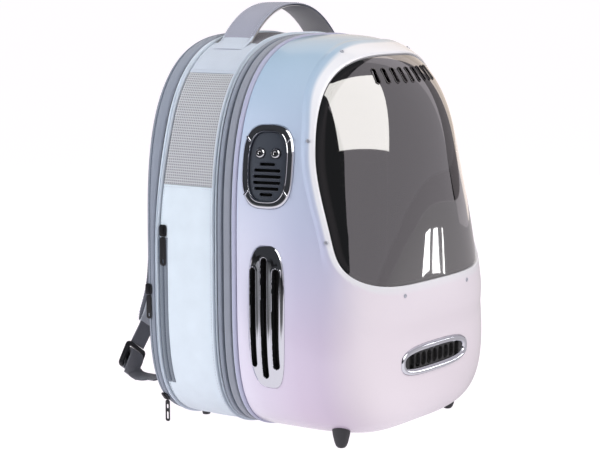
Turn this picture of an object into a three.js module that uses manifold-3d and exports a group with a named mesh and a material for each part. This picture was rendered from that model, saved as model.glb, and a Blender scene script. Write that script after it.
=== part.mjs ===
// Pet carrier backpack: a moulded front dome with a bubble window, zipped to a soft fabric body.
// Millimetres, +Z up from the floor. The window faces -Y and the wearer stands at +Y. Pieces are
// measured from the joint between the hard shell and the zip tape, and the whole then stands with
// the middle of its box over the origin.
import * as THREE from 'three';
import { mergeVertices } from 'three/addons/utils/BufferGeometryUtils.js';
import Module from 'manifold-3d';

// Driving dimensions: front outlines are superellipses with their own power above and below
// the widest height.
const BODY = { halfWidth: 161, top: 426, bottom: 7.1, widest: 208, upper: 2.87, lower: 4.55 };
const WINDOW = { halfWidth: 134.5, top: 406, bottom: 169.5, widest: 232, upper: 3.05, lower: 4.5 };
const BEZEL = { halfWidth: 142.5, top: 418.5, bottom: 128, widest: 240, upper: 3, lower: 4 };
const DOME_REACH = 150.6;
const DOME_PROFILE = { widest: 177, bottom: 4.8, upper: 3.09, lower: 6.95 };
const DOME_POWER = { low: 4.6, lowHeight: 20, high: 2.14, highHeight: 310 };
const SHELL_WALL = 3;
const BEZEL_RISE = 2.5;
const BEZEL_FADE = { fullAbove: 150, goneBelow: 85 };
const BEZEL_STEP = { sharp: 2, soft: 30, sharpAbove: 170, softBelow: 100 };
const WINDOW_WALL = 2.5;
const GAP = 0.3;
const WALL = 2;
const GUSSET_BOW = 0.8;
const BOW_SHARE = 0.25;
const PIPING_WIDTH = 3;
const PIPING_PROUD = 2.3;
const RIM_PROUD = 1.4;
const MESH_BOW = -0.6;
const PATCH_BOW = 0.4;
const HALF_STEPS = 19;
const HALVINGS = 40;
const CUT_DEPTH = 18;

// Rows of the soft body from the shell's rim to the wearer's back, as distances along Y.
const RIM_TRIM_WIDTH = 6;
const ZIP_TAPE_WIDTH = 12.2;
const GUSSET_FRONT = 25.7;
const GUSSET_REAR = 98.4;
const BACK_BAND_FRONT = GUSSET_REAR + PIPING_WIDTH + 2 * GAP;
const PANEL_FRONT = 113.5;
const PANEL_REAR = 127;
const PANEL_INSET = 8.4;
const BAND_CORNER = 110;

// The rear seam leans forward toward the top of the body.
const REAR_LEAN = { forward: 10.8, from: 190, to: 340 };

// Heights of the seams across the gusset, up the flank.
const MESH_BOTTOM = 270;
const MESH_TOP = 387;
const PATCH_TOP = 417;

const HANDLE = {
  centreX: 7, centreY: 58.5, width: 41, crown: 460, rise: 58.5, halfSpan: 98, power: 2.3,
};
const HANDLE_THICKNESS = 2.4;
const LINING_THICKNESS = 1.8;
const HANDLE_LIFT = 0.7;

const wasm = await Module();
wasm.setup();

const carrier = new THREE.Group();

// Finishes.
const finish = (color, roughness, metalness = 0) =>
  new THREE.MeshStandardMaterial({ color, roughness, metalness });
const paint = finish(0xcfd4e8, 0.22);
const smoked = finish(0x3a3634, 0.08);
const chrome = finish(0xd8dce2, 0.08, 1);
const darkPanel = finish(0x2d3741, 0.35);
const rubber = finish(0x323036, 0.7);
const paleTrim = finish(0xeaf0f6, 0.4);
const coated = finish(0xe1eaf2, 0.55);
const mesh = finish(0xa5a8ac, 0.85);
const greyTape = finish(0xa0a8b2, 0.8);
const topCloth = finish(0x69646c, 0.85);
const handleCloth = finish(0xa5a2b4, 0.75);
const blackPlastic = finish(0x1c1c20, 0.45);
const padCloth = finish(0x8c909a, 0.9);

const clamp01 = (value) => Math.min(1, Math.max(0, value));
const smooth = (value) => clamp01(value) ** 2 * (3 - 2 * clamp01(value));
const mix = (from, to, share) => from + (to - from) * share;
const point = (x, y, z) => new THREE.Vector3(x, y, z);

// Closed solid from rows of points: each row is a closed ring with the same number of points.
// The rows either join end to end, or are closed by a fan from each end row's middle.
function solidFromRings(rings, joined = false) {
  const size = rings[0].length;
  const points = rings.flat();
  const index = [];
  const steps = joined ? rings.length : rings.length - 1;
  for (let row = 0; row < steps; row += 1) {
    const next = (row + 1) % rings.length;
    for (let k = 0; k < size; k += 1) {
      const turn = (k + 1) % size;
      index.push(row * size + k, row * size + turn, next * size + turn);
      index.push(row * size + k, next * size + turn, next * size + k);
    }
  }
  if (!joined) {
    for (const row of [0, rings.length - 1]) {
      const middle = rings[row].reduce((sum, p) => sum.add(p), point(0, 0, 0)).divideScalar(size);
      points.push(middle);
      for (let k = 0; k < size; k += 1) {
        const from = row * size + k;
        const to = row * size + ((k + 1) % size);
        index.push(points.length - 1, row ? from : to, row ? to : from);
      }
    }
  }
  const geometry = new THREE.BufferGeometry().setFromPoints(points);
  geometry.setIndex(index);
  return facingOut(geometry);
}

// Turns every triangle round when the enclosed volume comes out negative.
function facingOut(geometry) {
  const place = geometry.getAttribute('position');
  const order = geometry.getIndex().array;
  const corner = (k) => new THREE.Vector3().fromBufferAttribute(place, order[k]);
  let volume = 0;
  for (let k = 0; k < order.length; k += 3) {
    volume += corner(k).dot(corner(k + 1).cross(corner(k + 2)));
  }
  if (volume < 0) {
    for (let k = 0; k < order.length; k += 3) {
      [order[k], order[k + 1]] = [order[k + 1], order[k]];
    }
  }
  return geometry;
}

function toManifold(geometry) {
  const bare = geometry.clone();
  bare.deleteAttribute('normal');
  bare.deleteAttribute('uv');
  const merged = mergeVertices(bare, 1e-4);
  const vertProperties = new Float32Array(merged.getAttribute('position').array);
  const triVerts = new Uint32Array(merged.getIndex().array);
  return new wasm.Manifold(new wasm.Mesh({ numProp: 3, vertProperties, triVerts }));
}

function cut(geometry, tools) {
  let body = toManifold(geometry);
  for (const tool of tools) {
    body = body.subtract(toManifold(tool));
  }
  const result = body.getMesh();
  const left = new THREE.BufferGeometry();
  left.setAttribute('position', new THREE.Float32BufferAttribute(result.vertProperties, 3));
  left.setIndex(Array.from(result.triVerts));
  return left;
}

function add(name, geometry, material) {
  geometry.computeVertexNormals();
  const piece = new THREE.Mesh(geometry, material);
  piece.name = name;
  carrier.add(piece);
  return piece;
}

// Half of a front outline, from the bottom centre up the +X side to the top centre.
function outlineCurve(outline) {
  const dense = [];
  const turns = 240;
  for (let k = 0; k <= turns; k += 1) {
    const angle = -Math.PI / 2 + (Math.PI * k) / turns;
    const upper = angle > 0;
    const power = 2 / (upper ? outline.upper : outline.lower);
    const height = upper ? outline.top - outline.widest : outline.bottom - outline.widest;
    const across = outline.halfWidth * Math.max(0, Math.cos(angle)) ** power;
    dense.push(new THREE.Vector2(across, outline.widest + height * Math.abs(Math.sin(angle)) ** power));
  }
  dense[0].x = 0;
  dense[turns].x = 0;
  return new THREE.SplineCurve(dense);
}

const bodyCurve = outlineCurve(BODY);
const windowCurve = outlineCurve(WINDOW);
const bezelCurve = outlineCurve(BEZEL);

// A place on a whole outline: turn 0 is the bottom centre, 1 the top centre, 2 the bottom again.
// Equal turns lie closer together where the outline bends.
function outlineAt(curve, turn) {
  const mirrored = turn > 1;
  const share = clamp01(mirrored ? 2 - turn : turn);
  const spot = curve.getPoint(share);
  const along = curve.getTangent(share);
  const side = mirrored ? -1 : 1;
  const atEnd = share === 0 || share === 1;
  const outward = atEnd ? new THREE.Vector2(0, share ? 1 : -1) : new THREE.Vector2(along.y, -along.x);
  return { x: side * spot.x, z: spot.y, outX: side * outward.x, outZ: outward.y };
}

// The turn at which the +X side of an outline passes a height.
function turnAtHeight(curve, height) {
  let low = 0;
  let high = 1;
  for (let k = 0; k < HALVINGS; k += 1) {
    const middle = (low + high) / 2;
    if (curve.getPoint(middle).y < height) low = middle;
    else high = middle;
  }
  return (low + high) / 2;
}

const wholeLoop = Array.from({ length: 2 * HALF_STEPS }, (_, k) => k / HALF_STEPS);

// The lean moves the rear seam whole, and what lies either side of it in part.
function leanedY(y, height) {
  const before = (y - GUSSET_FRONT) / (GUSSET_REAR - GUSSET_FRONT);
  const behind = (BAND_CORNER - y) / (BAND_CORNER - BACK_BAND_FRONT);
  const { forward, from, to } = REAR_LEAN;
  return y - forward * smooth((height - from) / (to - from)) * clamp01(Math.min(before, behind));
}

// Band round the body outline. A section lists [offset out of the outline, y] pairs.
function bodyBand(section, turns, joined) {
  const rings = turns.map((turn) => {
    const spot = outlineAt(bodyCurve, turn);
    return section.map(([out, y]) =>
      point(spot.x + out * spot.outX, leanedY(y, spot.z), spot.z + out * spot.outZ),
    );
  });
  return solidFromRings(rings, joined);
}

// The loop's own turns between two others, so that neighbouring panels bend at the same places.
function turnsThrough(from, to) {
  const twice = [...wholeLoop.map((turn) => turn - 2), ...wholeLoop];
  const inside = twice.filter((turn) => turn > from && turn < to);
  return [from, ...inside, to].map((turn) => (turn + 2) % 2);
}

// Half width, depth and roundness of the dome's level section at a height.
function superHalf(half, height, shape) {
  const upper = height > shape.widest;
  const share = upper
    ? (height - shape.widest) / (shape.top - shape.widest)
    : (shape.widest - height) / (shape.widest - shape.bottom);
  const power = upper ? shape.upper : shape.lower;
  return half * Math.max(1e-9, 1 - clamp01(share) ** power) ** (1 / power);
}

function domeSection(height) {
  const rise = (height - DOME_POWER.lowHeight) / (DOME_POWER.highHeight - DOME_POWER.lowHeight);
  return {
    half: superHalf(BODY.halfWidth, height, BODY),
    depth: superHalf(DOME_REACH - RIM_TRIM_WIDTH, height, { ...DOME_PROFILE, top: BODY.top }),
    power: mix(DOME_POWER.low, DOME_POWER.high, smooth(rise)),
  };
}

// Below 1 inside the dome and above 1 outside it.
function domeLevel(spot) {
  const { half, depth, power } = domeSection(spot.z);
  const forward = Math.abs(spot.y + RIM_TRIM_WIDTH);
  return (Math.abs(spot.x) / half) ** power + (forward / depth) ** power;
}

function domeNormal(spot) {
  const reach = 0.05;
  const slope = ['x', 'y', 'z'].map((axis) => {
    const ahead = spot.clone();
    const behind = spot.clone();
    ahead[axis] += reach;
    behind[axis] -= reach;
    return domeLevel(ahead) - domeLevel(behind);
  });
  return point(...slope).normalize();
}

// The dome's surface over a point of its front view, moved out of the surface by a height.
function domePoint(x, z, out = 0) {
  const { half, depth, power } = domeSection(z);
  const share = clamp01(1 - (Math.abs(x) / half) ** power);
  const spot = point(x, -RIM_TRIM_WIDTH - depth * share ** (1 / power), z);
  return out ? spot.addScaledVector(domeNormal(spot), out) : spot;
}

function bezelRise(height) {
  const { fullAbove, goneBelow } = BEZEL_FADE;
  return BEZEL_RISE * smooth((height - goneBelow) / (fullAbove - goneBelow));
}

// Front-view places of one section of the shell, from the window's edge over the bezel to the rim.
function shellPlaces(turn) {
  const edge = outlineAt(windowCurve, turn);
  const crease = outlineAt(bezelCurve, turn);
  const rim = outlineAt(bodyCurve, turn);
  const { sharp, soft, sharpAbove, softBelow } = BEZEL_STEP;
  const step = mix(soft, sharp, smooth((crease.z - softBelow) / (sharpAbove - softBelow)));
  const foot = { x: crease.x + step * crease.outX, z: crease.z + step * crease.outZ };
  const steps = 8;
  const crowding = 2.2;
  const flank = Array.from({ length: steps - 1 }, (_, k) => {
    const share = 1 - (1 - (k + 1) / steps) ** crowding;
    return { x: mix(foot.x, rim.x, share), z: mix(foot.z, rim.z, share) };
  });
  return { edge, crease, foot, flank, rim };
}

function rimPoint(rim, out) {
  return point(rim.x + out * rim.outX, -RIM_TRIM_WIDTH, rim.z + out * rim.outZ);
}

function shellOutside(turn, clear = 0) {
  const { edge, crease, foot, flank, rim } = shellPlaces(turn);
  return [
    domePoint(edge.x, edge.z, bezelRise(edge.z) + clear),
    domePoint(crease.x, crease.z, bezelRise(crease.z) + clear),
    domePoint(foot.x, foot.z, clear),
    ...flank.map((place) => domePoint(place.x, place.z, clear)),
    rimPoint(rim, clear),
  ];
}

function shellInside(turn) {
  const { edge, crease, flank, rim } = shellPlaces(turn);
  const places = [edge, crease, ...flank.filter((_, k) => k % 2)];
  return [...places.map((place) => domePoint(place.x, place.z, -SHELL_WALL)), rimPoint(rim, -SHELL_WALL)];
}

// A seat for a fitting on the dome: its middle, the way out, and the ways across and up the surface.
function domeSeat(middle) {
  const out = domeNormal(middle);
  const up = point(0, 0, 1).addScaledVector(out, -out.z).normalize();
  const across = new THREE.Vector3().crossVectors(up, out);
  return { middle, out, up, across };
}

// A flank point at a distance forward of the rim, on the -X side.
function flankPoint(y, z) {
  const { half, depth, power } = domeSection(z);
  const share = 1 - (Math.abs(y + RIM_TRIM_WIDTH) / depth) ** power;
  return point(-half * share ** (1 / power), y, z);
}

// The dome's surface over a point of the seat's plane, moved out by a height.
function onSeat(seat, across, up, height) {
  const base = seat.middle.clone().addScaledVector(seat.across, across).addScaledVector(seat.up, up);
  let low = -2 * CUT_DEPTH;
  let high = CUT_DEPTH;
  for (let k = 0; k < HALVINGS; k += 1) {
    const middle = (low + high) / 2;
    const level = domeLevel(base.clone().addScaledVector(seat.out, middle));
    if (level < 1) low = middle;
    else high = middle;
  }
  return base.addScaledVector(seat.out, low + height);
}

function oval(halfAcross, halfUp, power, steps) {
  return Array.from({ length: steps }, (_, k) => {
    const angle = (2 * Math.PI * (k + 0.5)) / steps;
    const across = Math.sign(Math.cos(angle)) * Math.abs(Math.cos(angle)) ** (2 / power);
    const up = Math.sign(Math.sin(angle)) * Math.abs(Math.sin(angle)) ** (2 / power);
    return [halfAcross * across, halfUp * up];
  });
}

// Rings of an oval fitting. Each level gives an inset from the oval's edge and a height over the dome.
function ovalRings(seat, shape, levels) {
  return levels.map(([inset, height]) =>
    oval(shape.across - inset, shape.up - inset, shape.power, shape.steps).map(([across, up]) =>
      onSeat(seat, across, up, height),
    ),
  );
}

// A straight-sided cutter through the shell, a little larger than the fitting.
function ovalCutter(seat, shape, margin, depth = CUT_DEPTH) {
  const edge = oval(shape.across + margin, shape.up + margin, shape.power, shape.steps);
  const rings = [-depth, depth].map((height) =>
    edge.map(([across, up]) =>
      seat.middle
        .clone()
        .addScaledVector(seat.across, across)
        .addScaledVector(seat.up, up)
        .addScaledVector(seat.out, height),
    ),
  );
  return solidFromRings(rings);
}

// The oval left inside a ring of a given width.
function insideOf(shape, rim) {
  return { ...shape, across: shape.across - rim - GAP, up: shape.up - rim - GAP, steps: 16 };
}

// A cutter for a slot centred on a place of the seat: square with 4 steps, else with round ends.
function slotCutter(seat, across, up, halfAcross, halfUp, steps = 8) {
  const middle = seat.middle.clone().addScaledVector(seat.across, across).addScaledVector(seat.up, up);
  const fill = steps === 4 ? Math.SQRT1_2 ** -0.5 : 1;
  const shape = { across: halfAcross * fill, up: halfUp * fill, power: 4, steps };
  return ovalCutter({ ...seat, middle }, shape, 0);
}

// Fan module on the left flank: bezel, panel and two push buttons.
const FAN = { across: 28.5, up: 43.5, power: 3.1, steps: 24 };
const FAN_RIM = 8;
const FAN_SEAT = domeSeat(flankPoint(-40.1, 295.6));
const FAN_PANEL_HEIGHT = { face: -1, back: -4.5 };
const FAN_SLOTS = [
  { up: 2.2, half: 8.3 },
  { up: -4.1, half: 14.5 },
  { up: -10.4, half: 15 },
  { up: -16.7, half: 15 },
  { up: -22.8, half: 13.5 },
  { up: -28.9, half: 7 },
];
const FAN_SLOT_HALF_HEIGHT = 1.4;
const BUTTON_HEIGHT = { face: 2.2, crown: 1.7, edge: 0.6, back: -3.5 };
const BUTTON = { radius: 5, crownRadius: 3.75, spread: 8.5, up: 13.5, ...BUTTON_HEIGHT };

// Chrome grille below the fan module.
const GRILLE = { across: 22.5, up: 75, power: 3.3, steps: 24 };
const GRILLE_SEAT = domeSeat(flankPoint(-43.2, 139.4));
const GRILLE_SLOTS = [
  { across: -13.8, half: 52 },
  { across: 0, half: 63 },
  { across: 13.8, half: 52 },
];
const GRILLE_SLOT_HALF_WIDTH = 3.6;

// Air vent low on the front.
const VENT = { across: 66.5, up: 16.5, power: 3, steps: 24 };
const VENT_RIM = 7.5;
const VENT_SEAT = domeSeat(domePoint(0, 86.5));
const VENT_SLOT = { count: 9, pitch: 11.4, halfWidth: 3.9, halfHeight: 6 };

// Front shell.
const shellRings = wholeLoop.map((turn) => [...shellOutside(turn), ...shellInside(turn).reverse()]);
add(
  'front_shell',
  cut(solidFromRings(shellRings, true), [
    ovalCutter(FAN_SEAT, FAN, GAP),
    ovalCutter(GRILLE_SEAT, GRILLE, GAP),
    ovalCutter(VENT_SEAT, VENT, GAP),
  ]),
  paint,
);

// Bubble window: the dome's own surface inside the opening, with a row of air slots near its top.
const WINDOW_SLOT = { count: 9, pitch: 13, height: 385.5, halfWidth: 2.3, halfLength: 9 };
const windowMiddle = (WINDOW.top + WINDOW.bottom) / 2;
const windowShrink = 1 - GAP / WINDOW.halfWidth;
const windowScales = [0.45, 0.8, 1];
function windowRing(scale, out) {
  return wholeLoop.map((turn) => {
    const edge = outlineAt(windowCurve, turn);
    const share = scale * windowShrink;
    return domePoint(edge.x * share, mix(windowMiddle, edge.z, share), out);
  });
}
const windowRings = [
  ...windowScales.map((scale) => windowRing(scale, -WINDOW_WALL)),
  ...windowScales.toReversed().map((scale) => windowRing(scale, 0)),
];
const windowSlots = Array.from({ length: WINDOW_SLOT.count }, (_, k) => {
  const x = (k - (WINDOW_SLOT.count - 1) / 2) * WINDOW_SLOT.pitch;
  const seat = domeSeat(domePoint(x, WINDOW_SLOT.height));
  return slotCutter(seat, 0, 0, WINDOW_SLOT.halfWidth, WINDOW_SLOT.halfLength, 6);
});
add('window', cut(solidFromRings(windowRings), windowSlots), smoked);

// Screw heads round the window, on the bezel: half spacing and height of each pair, and how far
// the pair is let into the bezel.
const SCREW = { radius: 2.3, height: 1.1, crown: 0.8, shoulder: 0.7 };
const SCREW_PAIRS = [
  { x: 64, z: 408.5, sink: 0.8 },
  { x: 132.4, z: 321.8, sink: 0.2 },
  { x: 138, z: 219.8, sink: 0.1 },
  { x: 63, z: 159.4, sink: 0.1 },
];
SCREW_PAIRS.forEach((pair, row) => {
  [-1, 1].forEach((side, k) => {
    const seat = domeSeat(domePoint(side * pair.x, pair.z, bezelRise(pair.z) + GAP - pair.sink));
    const profile = [
      new THREE.Vector2(0, 0),
      new THREE.Vector2(SCREW.radius, 0),
      new THREE.Vector2(SCREW.radius * SCREW.crown, SCREW.height * SCREW.shoulder),
      new THREE.Vector2(0, SCREW.height),
    ];
    const screw = add(`window_screw_${row * 2 + k + 1}`, new THREE.LatheGeometry(profile, 8), chrome);
    screw.position.copy(seat.middle);
    screw.quaternion.setFromUnitVectors(point(0, 1, 0), seat.out);
  });
});

// Fan module pieces.
const fanBezelLevels = [[0, -3.2], [0, 0.6], [2, 2.6], [5.5, 2.6], [FAN_RIM, 0], [FAN_RIM, -3.2]];
add('fan_bezel', solidFromRings(ovalRings(FAN_SEAT, FAN, fanBezelLevels), true), chrome);

const fanPanelLevels = [[0, FAN_PANEL_HEIGHT.back], [0, FAN_PANEL_HEIGHT.face]];
const buttonSeats = [-1, 1].map((side) => ({
  ...FAN_SEAT,
  middle: onSeat(FAN_SEAT, side * BUTTON.spread, BUTTON.up, 0),
}));
const fanCuts = FAN_SLOTS.map((slot) =>
  slotCutter(FAN_SEAT, 0, slot.up, slot.half, FAN_SLOT_HALF_HEIGHT, 4),
);
const buttonHole = { across: BUTTON.radius, up: BUTTON.radius, power: 2, steps: 14 };
buttonSeats.forEach((seat) => fanCuts.push(ovalCutter(seat, buttonHole, GAP)));
const fanPlate = solidFromRings(ovalRings(FAN_SEAT, insideOf(FAN, FAN_RIM), fanPanelLevels));
add('fan_panel', cut(fanPlate, fanCuts), darkPanel);

const buttonProfile = [
  new THREE.Vector2(0, BUTTON.back),
  new THREE.Vector2(BUTTON.radius, BUTTON.back),
  new THREE.Vector2(BUTTON.radius, BUTTON.edge),
  new THREE.Vector2(BUTTON.crownRadius, BUTTON.crown),
  new THREE.Vector2(0, BUTTON.face),
];
['lamp_button', 'fan_button'].forEach((name, k) => {
  const button = add(name, new THREE.LatheGeometry(buttonProfile, 14), chrome);
  button.position.copy(buttonSeats[k].middle);
  button.quaternion.setFromUnitVectors(point(0, 1, 0), FAN_SEAT.out);
});

// Side grille: a crowned plate with three upright slots.
const grilleLevels = [[0, -3], [0, 0.8], [4, 3], [14, 3.9]];
const grilleCuts = GRILLE_SLOTS.map((slot) =>
  slotCutter(GRILLE_SEAT, slot.across, 0, GRILLE_SLOT_HALF_WIDTH, slot.half),
);
add('side_grille', cut(solidFromRings(ovalRings(GRILLE_SEAT, GRILLE, grilleLevels)), grilleCuts), chrome);

// Front vent: a ring and its slatted insert.
const ventTrimLevels = [[0, -3], [0, 0.6], [1.8, 2.2], [4.6, 2], [VENT_RIM, 0.2], [VENT_RIM, -3]];
add('vent_trim', solidFromRings(ovalRings(VENT_SEAT, VENT, ventTrimLevels), true), chrome);
const ventLevels = [[0, -3], [0, -0.8]];
const ventCuts = Array.from({ length: VENT_SLOT.count }, (_, k) => {
  const across = (k - (VENT_SLOT.count - 1) / 2) * VENT_SLOT.pitch;
  return slotCutter(VENT_SEAT, across, 0, VENT_SLOT.halfWidth, VENT_SLOT.halfHeight, 4);
});
const ventPlate = solidFromRings(ovalRings(VENT_SEAT, insideOf(VENT, VENT_RIM), ventLevels));
add('vent_grille', cut(ventPlate, ventCuts), blackPlastic);

// Front feet: tapered legs trimmed to the dome's underside. The profile lists radius and height.
const FRONT_FOOT = { x: 108, y: -102, sides: 14 };
const FRONT_FOOT_PROFILE = [[0, 0], [5, 0], [6, 2], [9.1, 14], [12.5, 48], [0, 48]];
const clearRows = wholeLoop.map((turn) => shellOutside(turn, GAP));
const domeFilled = solidFromRings(clearRows[0].map((_, row) => clearRows.map((section) => section[row])));
[-1, 1].forEach((side) => {
  const profile = FRONT_FOOT_PROFILE.map(([radius, height]) => new THREE.Vector2(radius, height));
  const leg = new THREE.LatheGeometry(profile, FRONT_FOOT.sides).rotateX(Math.PI / 2);
  leg.translate(side * FRONT_FOOT.x, FRONT_FOOT.y, 0);
  add(side < 0 ? 'front_foot_left' : 'front_foot_right', cut(leg, [domeFilled]), rubber);
});

// The body's outline as a filled block, grown by a clearance, for trimming what sits on the cloth.
function bodyFilled(clear) {
  const steps = 6 * HALF_STEPS;
  const fineLoop = Array.from({ length: steps }, (_, k) => (2 * k) / steps);
  const rings = [GUSSET_FRONT, PANEL_FRONT].map((y) =>
    fineLoop.map((turn) => {
      const spot = outlineAt(bodyCurve, turn);
      return point(spot.x + clear * spot.outX, y, spot.z + clear * spot.outZ);
    }),
  );
  return solidFromRings(rings);
}

// Rear feet: rubber studs under the rear binding.
const REAR_FOOT = { x: 70, y: 107.5, radius: 5, soleRadius: 4.2, top: 12, sides: 14 };
[-1, 1].forEach((side) => {
  const { x, y, radius, soleRadius, top, sides } = REAR_FOOT;
  const pad = new THREE.CylinderGeometry(radius, soleRadius, top, sides);
  pad.rotateX(Math.PI / 2).translate(side * x, y, top / 2);
  const trimmed = cut(pad, [bodyFilled(GUSSET_BOW + GAP)]);
  add(side < 0 ? 'rear_foot_left' : 'rear_foot_right', trimmed, rubber);
});

// Rim trim, zip tapes, piping and the rear binding: whole loops round the body.
const flatSection = (front, rear) => [[-WALL, front], [0, front], [0, rear], [-WALL, rear]];
function roundSection(front, rear, proud) {
  return [[-WALL, front], [0, front], [proud, (front + rear) / 2], [0, rear], [-WALL, rear]];
}
const pipingSection = (front) => roundSection(front, front + PIPING_WIDTH, PIPING_PROUD);
const addLoop = (name, section, material) => add(name, bodyBand(section, wholeLoop, true), material);
const tapeStart = GAP / 2;
const tapeSplit = tapeStart + ZIP_TAPE_WIDTH;
const pipingFront = GUSSET_FRONT - GAP - PIPING_WIDTH;
const pipingRear = GUSSET_REAR + GAP;
addLoop('rim_trim', roundSection(-RIM_TRIM_WIDTH + GAP, -GAP / 2, RIM_PROUD), paleTrim);
addLoop('zip_tape_front', flatSection(tapeStart, tapeSplit), greyTape);
addLoop('zip_tape_rear', flatSection(tapeSplit + GAP, pipingFront - GAP), greyTape);
addLoop('front_piping', pipingSection(pipingFront), paleTrim);
addLoop('back_piping', pipingSection(pipingRear), paleTrim);
const backBandSection = [
  [-WALL, BACK_BAND_FRONT],
  [0, BACK_BAND_FRONT],
  [0.6, BAND_CORNER - 2],
  [-4, 116.5],
  [-PANEL_INSET + GAP, 118],
  [-PANEL_INSET + GAP, 115.5],
  [-WALL - 1, 111.5],
];
addLoop('back_band', backBandSection, greyTape);

// Gusset panels between the two pipings: coated cloth below, mesh, handle patch and top cloth above.
const seamTurn = (height, gap) => turnAtHeight(bodyCurve, height + gap);
const patchTopGap = 0.05;
const gussetSection = (bow) => [
  [-WALL, GUSSET_FRONT],
  [0, GUSSET_FRONT],
  [bow, mix(GUSSET_FRONT, GUSSET_REAR, BOW_SHARE)],
  [bow, mix(GUSSET_REAR, GUSSET_FRONT, BOW_SHARE)],
  [0, GUSSET_REAR],
  [-WALL, GUSSET_REAR],
];
const lowerTurn = seamTurn(MESH_BOTTOM, -GAP / 2);
const lowerTurns = turnsThrough(-lowerTurn, lowerTurn);
add('gusset', bodyBand(gussetSection(GUSSET_BOW), lowerTurns, false), coated);
const sides = [
  { name: 'right', turn: (share) => share },
  { name: 'left', turn: (share) => 2 - share },
];
for (const side of sides) {
  const meshEnds = [seamTurn(MESH_BOTTOM, GAP / 2), seamTurn(MESH_TOP, -GAP / 2)];
  const patchEnds = [seamTurn(MESH_TOP, GAP / 2), seamTurn(PATCH_TOP, -patchTopGap)];
  const meshTurns = turnsThrough(...meshEnds).map(side.turn);
  add(`mesh_${side.name}`, bodyBand(gussetSection(MESH_BOW), meshTurns, false), mesh);
  const patch = bodyBand(gussetSection(PATCH_BOW), turnsThrough(...patchEnds).map(side.turn), false);
  add(`handle_patch_${side.name}`, patch, coated);
}
const topTurn = seamTurn(PATCH_TOP, patchTopGap);
add('top_panel', bodyBand(gussetSection(0), turnsThrough(topTurn, 2 - topTurn), false), topCloth);

// Padded back panel: a flat front face inside the binding and a crowned rear face.
const panelRing = (inset, y) =>
  wholeLoop.map((turn) => {
    const spot = outlineAt(bodyCurve, turn);
    return point(spot.x - inset * spot.outX, y, spot.z - inset * spot.outZ);
  });
const PANEL_FILL = 60;
const panelLevels = [
  [PANEL_FILL, PANEL_FRONT],
  [PANEL_INSET, PANEL_FRONT],
  [PANEL_INSET, 119.5],
  [PANEL_INSET + 3, 123.5],
  [PANEL_INSET + 8, 126],
  [PANEL_INSET + 14, PANEL_REAR],
  [PANEL_FILL, PANEL_REAR],
];
add('back_panel', solidFromRings(panelLevels.map(([inset, y]) => panelRing(inset, y))), padCloth);

// Carrying handle: a cloth band that leaves the patches in an arch, with a lining under it.
function handleTop(x) {
  const share = Math.abs(x - HANDLE.centreX) / HANDLE.halfSpan;
  return HANDLE.crown - HANDLE.rise * share ** HANDLE.power;
}
function handleBand(name, top, thickness, material) {
  const steps = 14;
  const rings = Array.from({ length: steps + 1 }, (_, k) => {
    const x = HANDLE.centreX + mix(-HANDLE.halfSpan, HANDLE.halfSpan, k / steps);
    const reach = 0.5;
    const slope = (handleTop(x + reach) - handleTop(x - reach)) / (2 * reach);
    const out = point(-slope, 0, 1).normalize();
    const outside = point(x, 0, handleTop(x)).addScaledVector(out, -top);
    const inside = outside.clone().addScaledVector(out, -thickness);
    const half = HANDLE.width / 2;
    return [
      outside.clone().setY(HANDLE.centreY - half),
      outside.clone().setY(HANDLE.centreY + half),
      inside.clone().setY(HANDLE.centreY + half),
      inside.clone().setY(HANDLE.centreY - half),
    ];
  });
  add(name, cut(solidFromRings(rings), [bodyFilled(HANDLE_LIFT)]), material);
}
handleBand('top_handle', 0, HANDLE_THICKNESS, handleCloth);
handleBand('handle_lining', HANDLE_THICKNESS + GAP, LINING_THICKNESS, mesh);

// Band of a given section along a smooth path. Each stop gives a place and the band's width there.
function pathBand(stops, thickness, widthWay, steps) {
  const curve = new THREE.CatmullRomCurve3(stops.map((stop) => point(...stop.at)), false, 'centripetal');
  const rings = Array.from({ length: steps + 1 }, (_, k) => {
    const share = k / steps;
    const spot = curve.getPoint(share);
    const along = curve.getTangent(share);
    const wide = widthWay.clone().addScaledVector(along, -widthWay.dot(along)).normalize();
    const thick = new THREE.Vector3().crossVectors(along, wide);
    const leg = Math.min(stops.length - 2, Math.floor(share * (stops.length - 1)));
    const width = mix(stops[leg].width, stops[leg + 1].width, share * (stops.length - 1) - leg);
    const roundOff = thickness * 0.35;
    const halfWide = width / 2;
    const halfThick = thickness / 2;
    const corners = [
      [-halfWide, -halfThick + roundOff],
      [-halfWide + roundOff, -halfThick],
      [halfWide - roundOff, -halfThick],
      [halfWide, -halfThick + roundOff],
      [halfWide, halfThick - roundOff],
      [halfWide - roundOff, halfThick],
      [-halfWide + roundOff, halfThick],
      [-halfWide, halfThick - roundOff],
    ];
    return corners.map(([w, t]) => spot.clone().addScaledVector(wide, w).addScaledVector(thick, t));
  });
  return solidFromRings(rings);
}

// Shoulder straps: pads from the top of the back panel, then webbing through a ladder-lock buckle
// to the panel's lower corner. Places are for the +X side.
const STRAP_THICKNESS = 11;
const SEWN_GAP = 0.6;
const strapStops = [
  { at: [48, PANEL_REAR + SEWN_GAP, 378], width: 58 },
  { at: [48, 139, 378], width: 58 },
  { at: [50, 156, 360], width: 58 },
  { at: [55, 166, 310], width: 56 },
  { at: [61, 168.4, 250], width: 54 },
  { at: [71, 166, 190], width: 49 },
  { at: [87, 162, 140], width: 39 },
  { at: [110, 160, 102], width: 30 },
];
const BUCKLE = { at: [132, 163, 68], across: 34, tall: 30, thick: 5, bar: 4.5, lean: 0.68 };
const BUCKLE_RADIUS = { corner: 4, hole: 1.5 };
const WEB = { width: 24, thickness: 2 };
const upperWebStops = [
  { at: [111.7, 160.2, 99.2], width: WEB.width },
  { at: [117.5, 161.6, 90], width: WEB.width },
  { at: [123.1, 163, 81.1], width: WEB.width },
];
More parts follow.
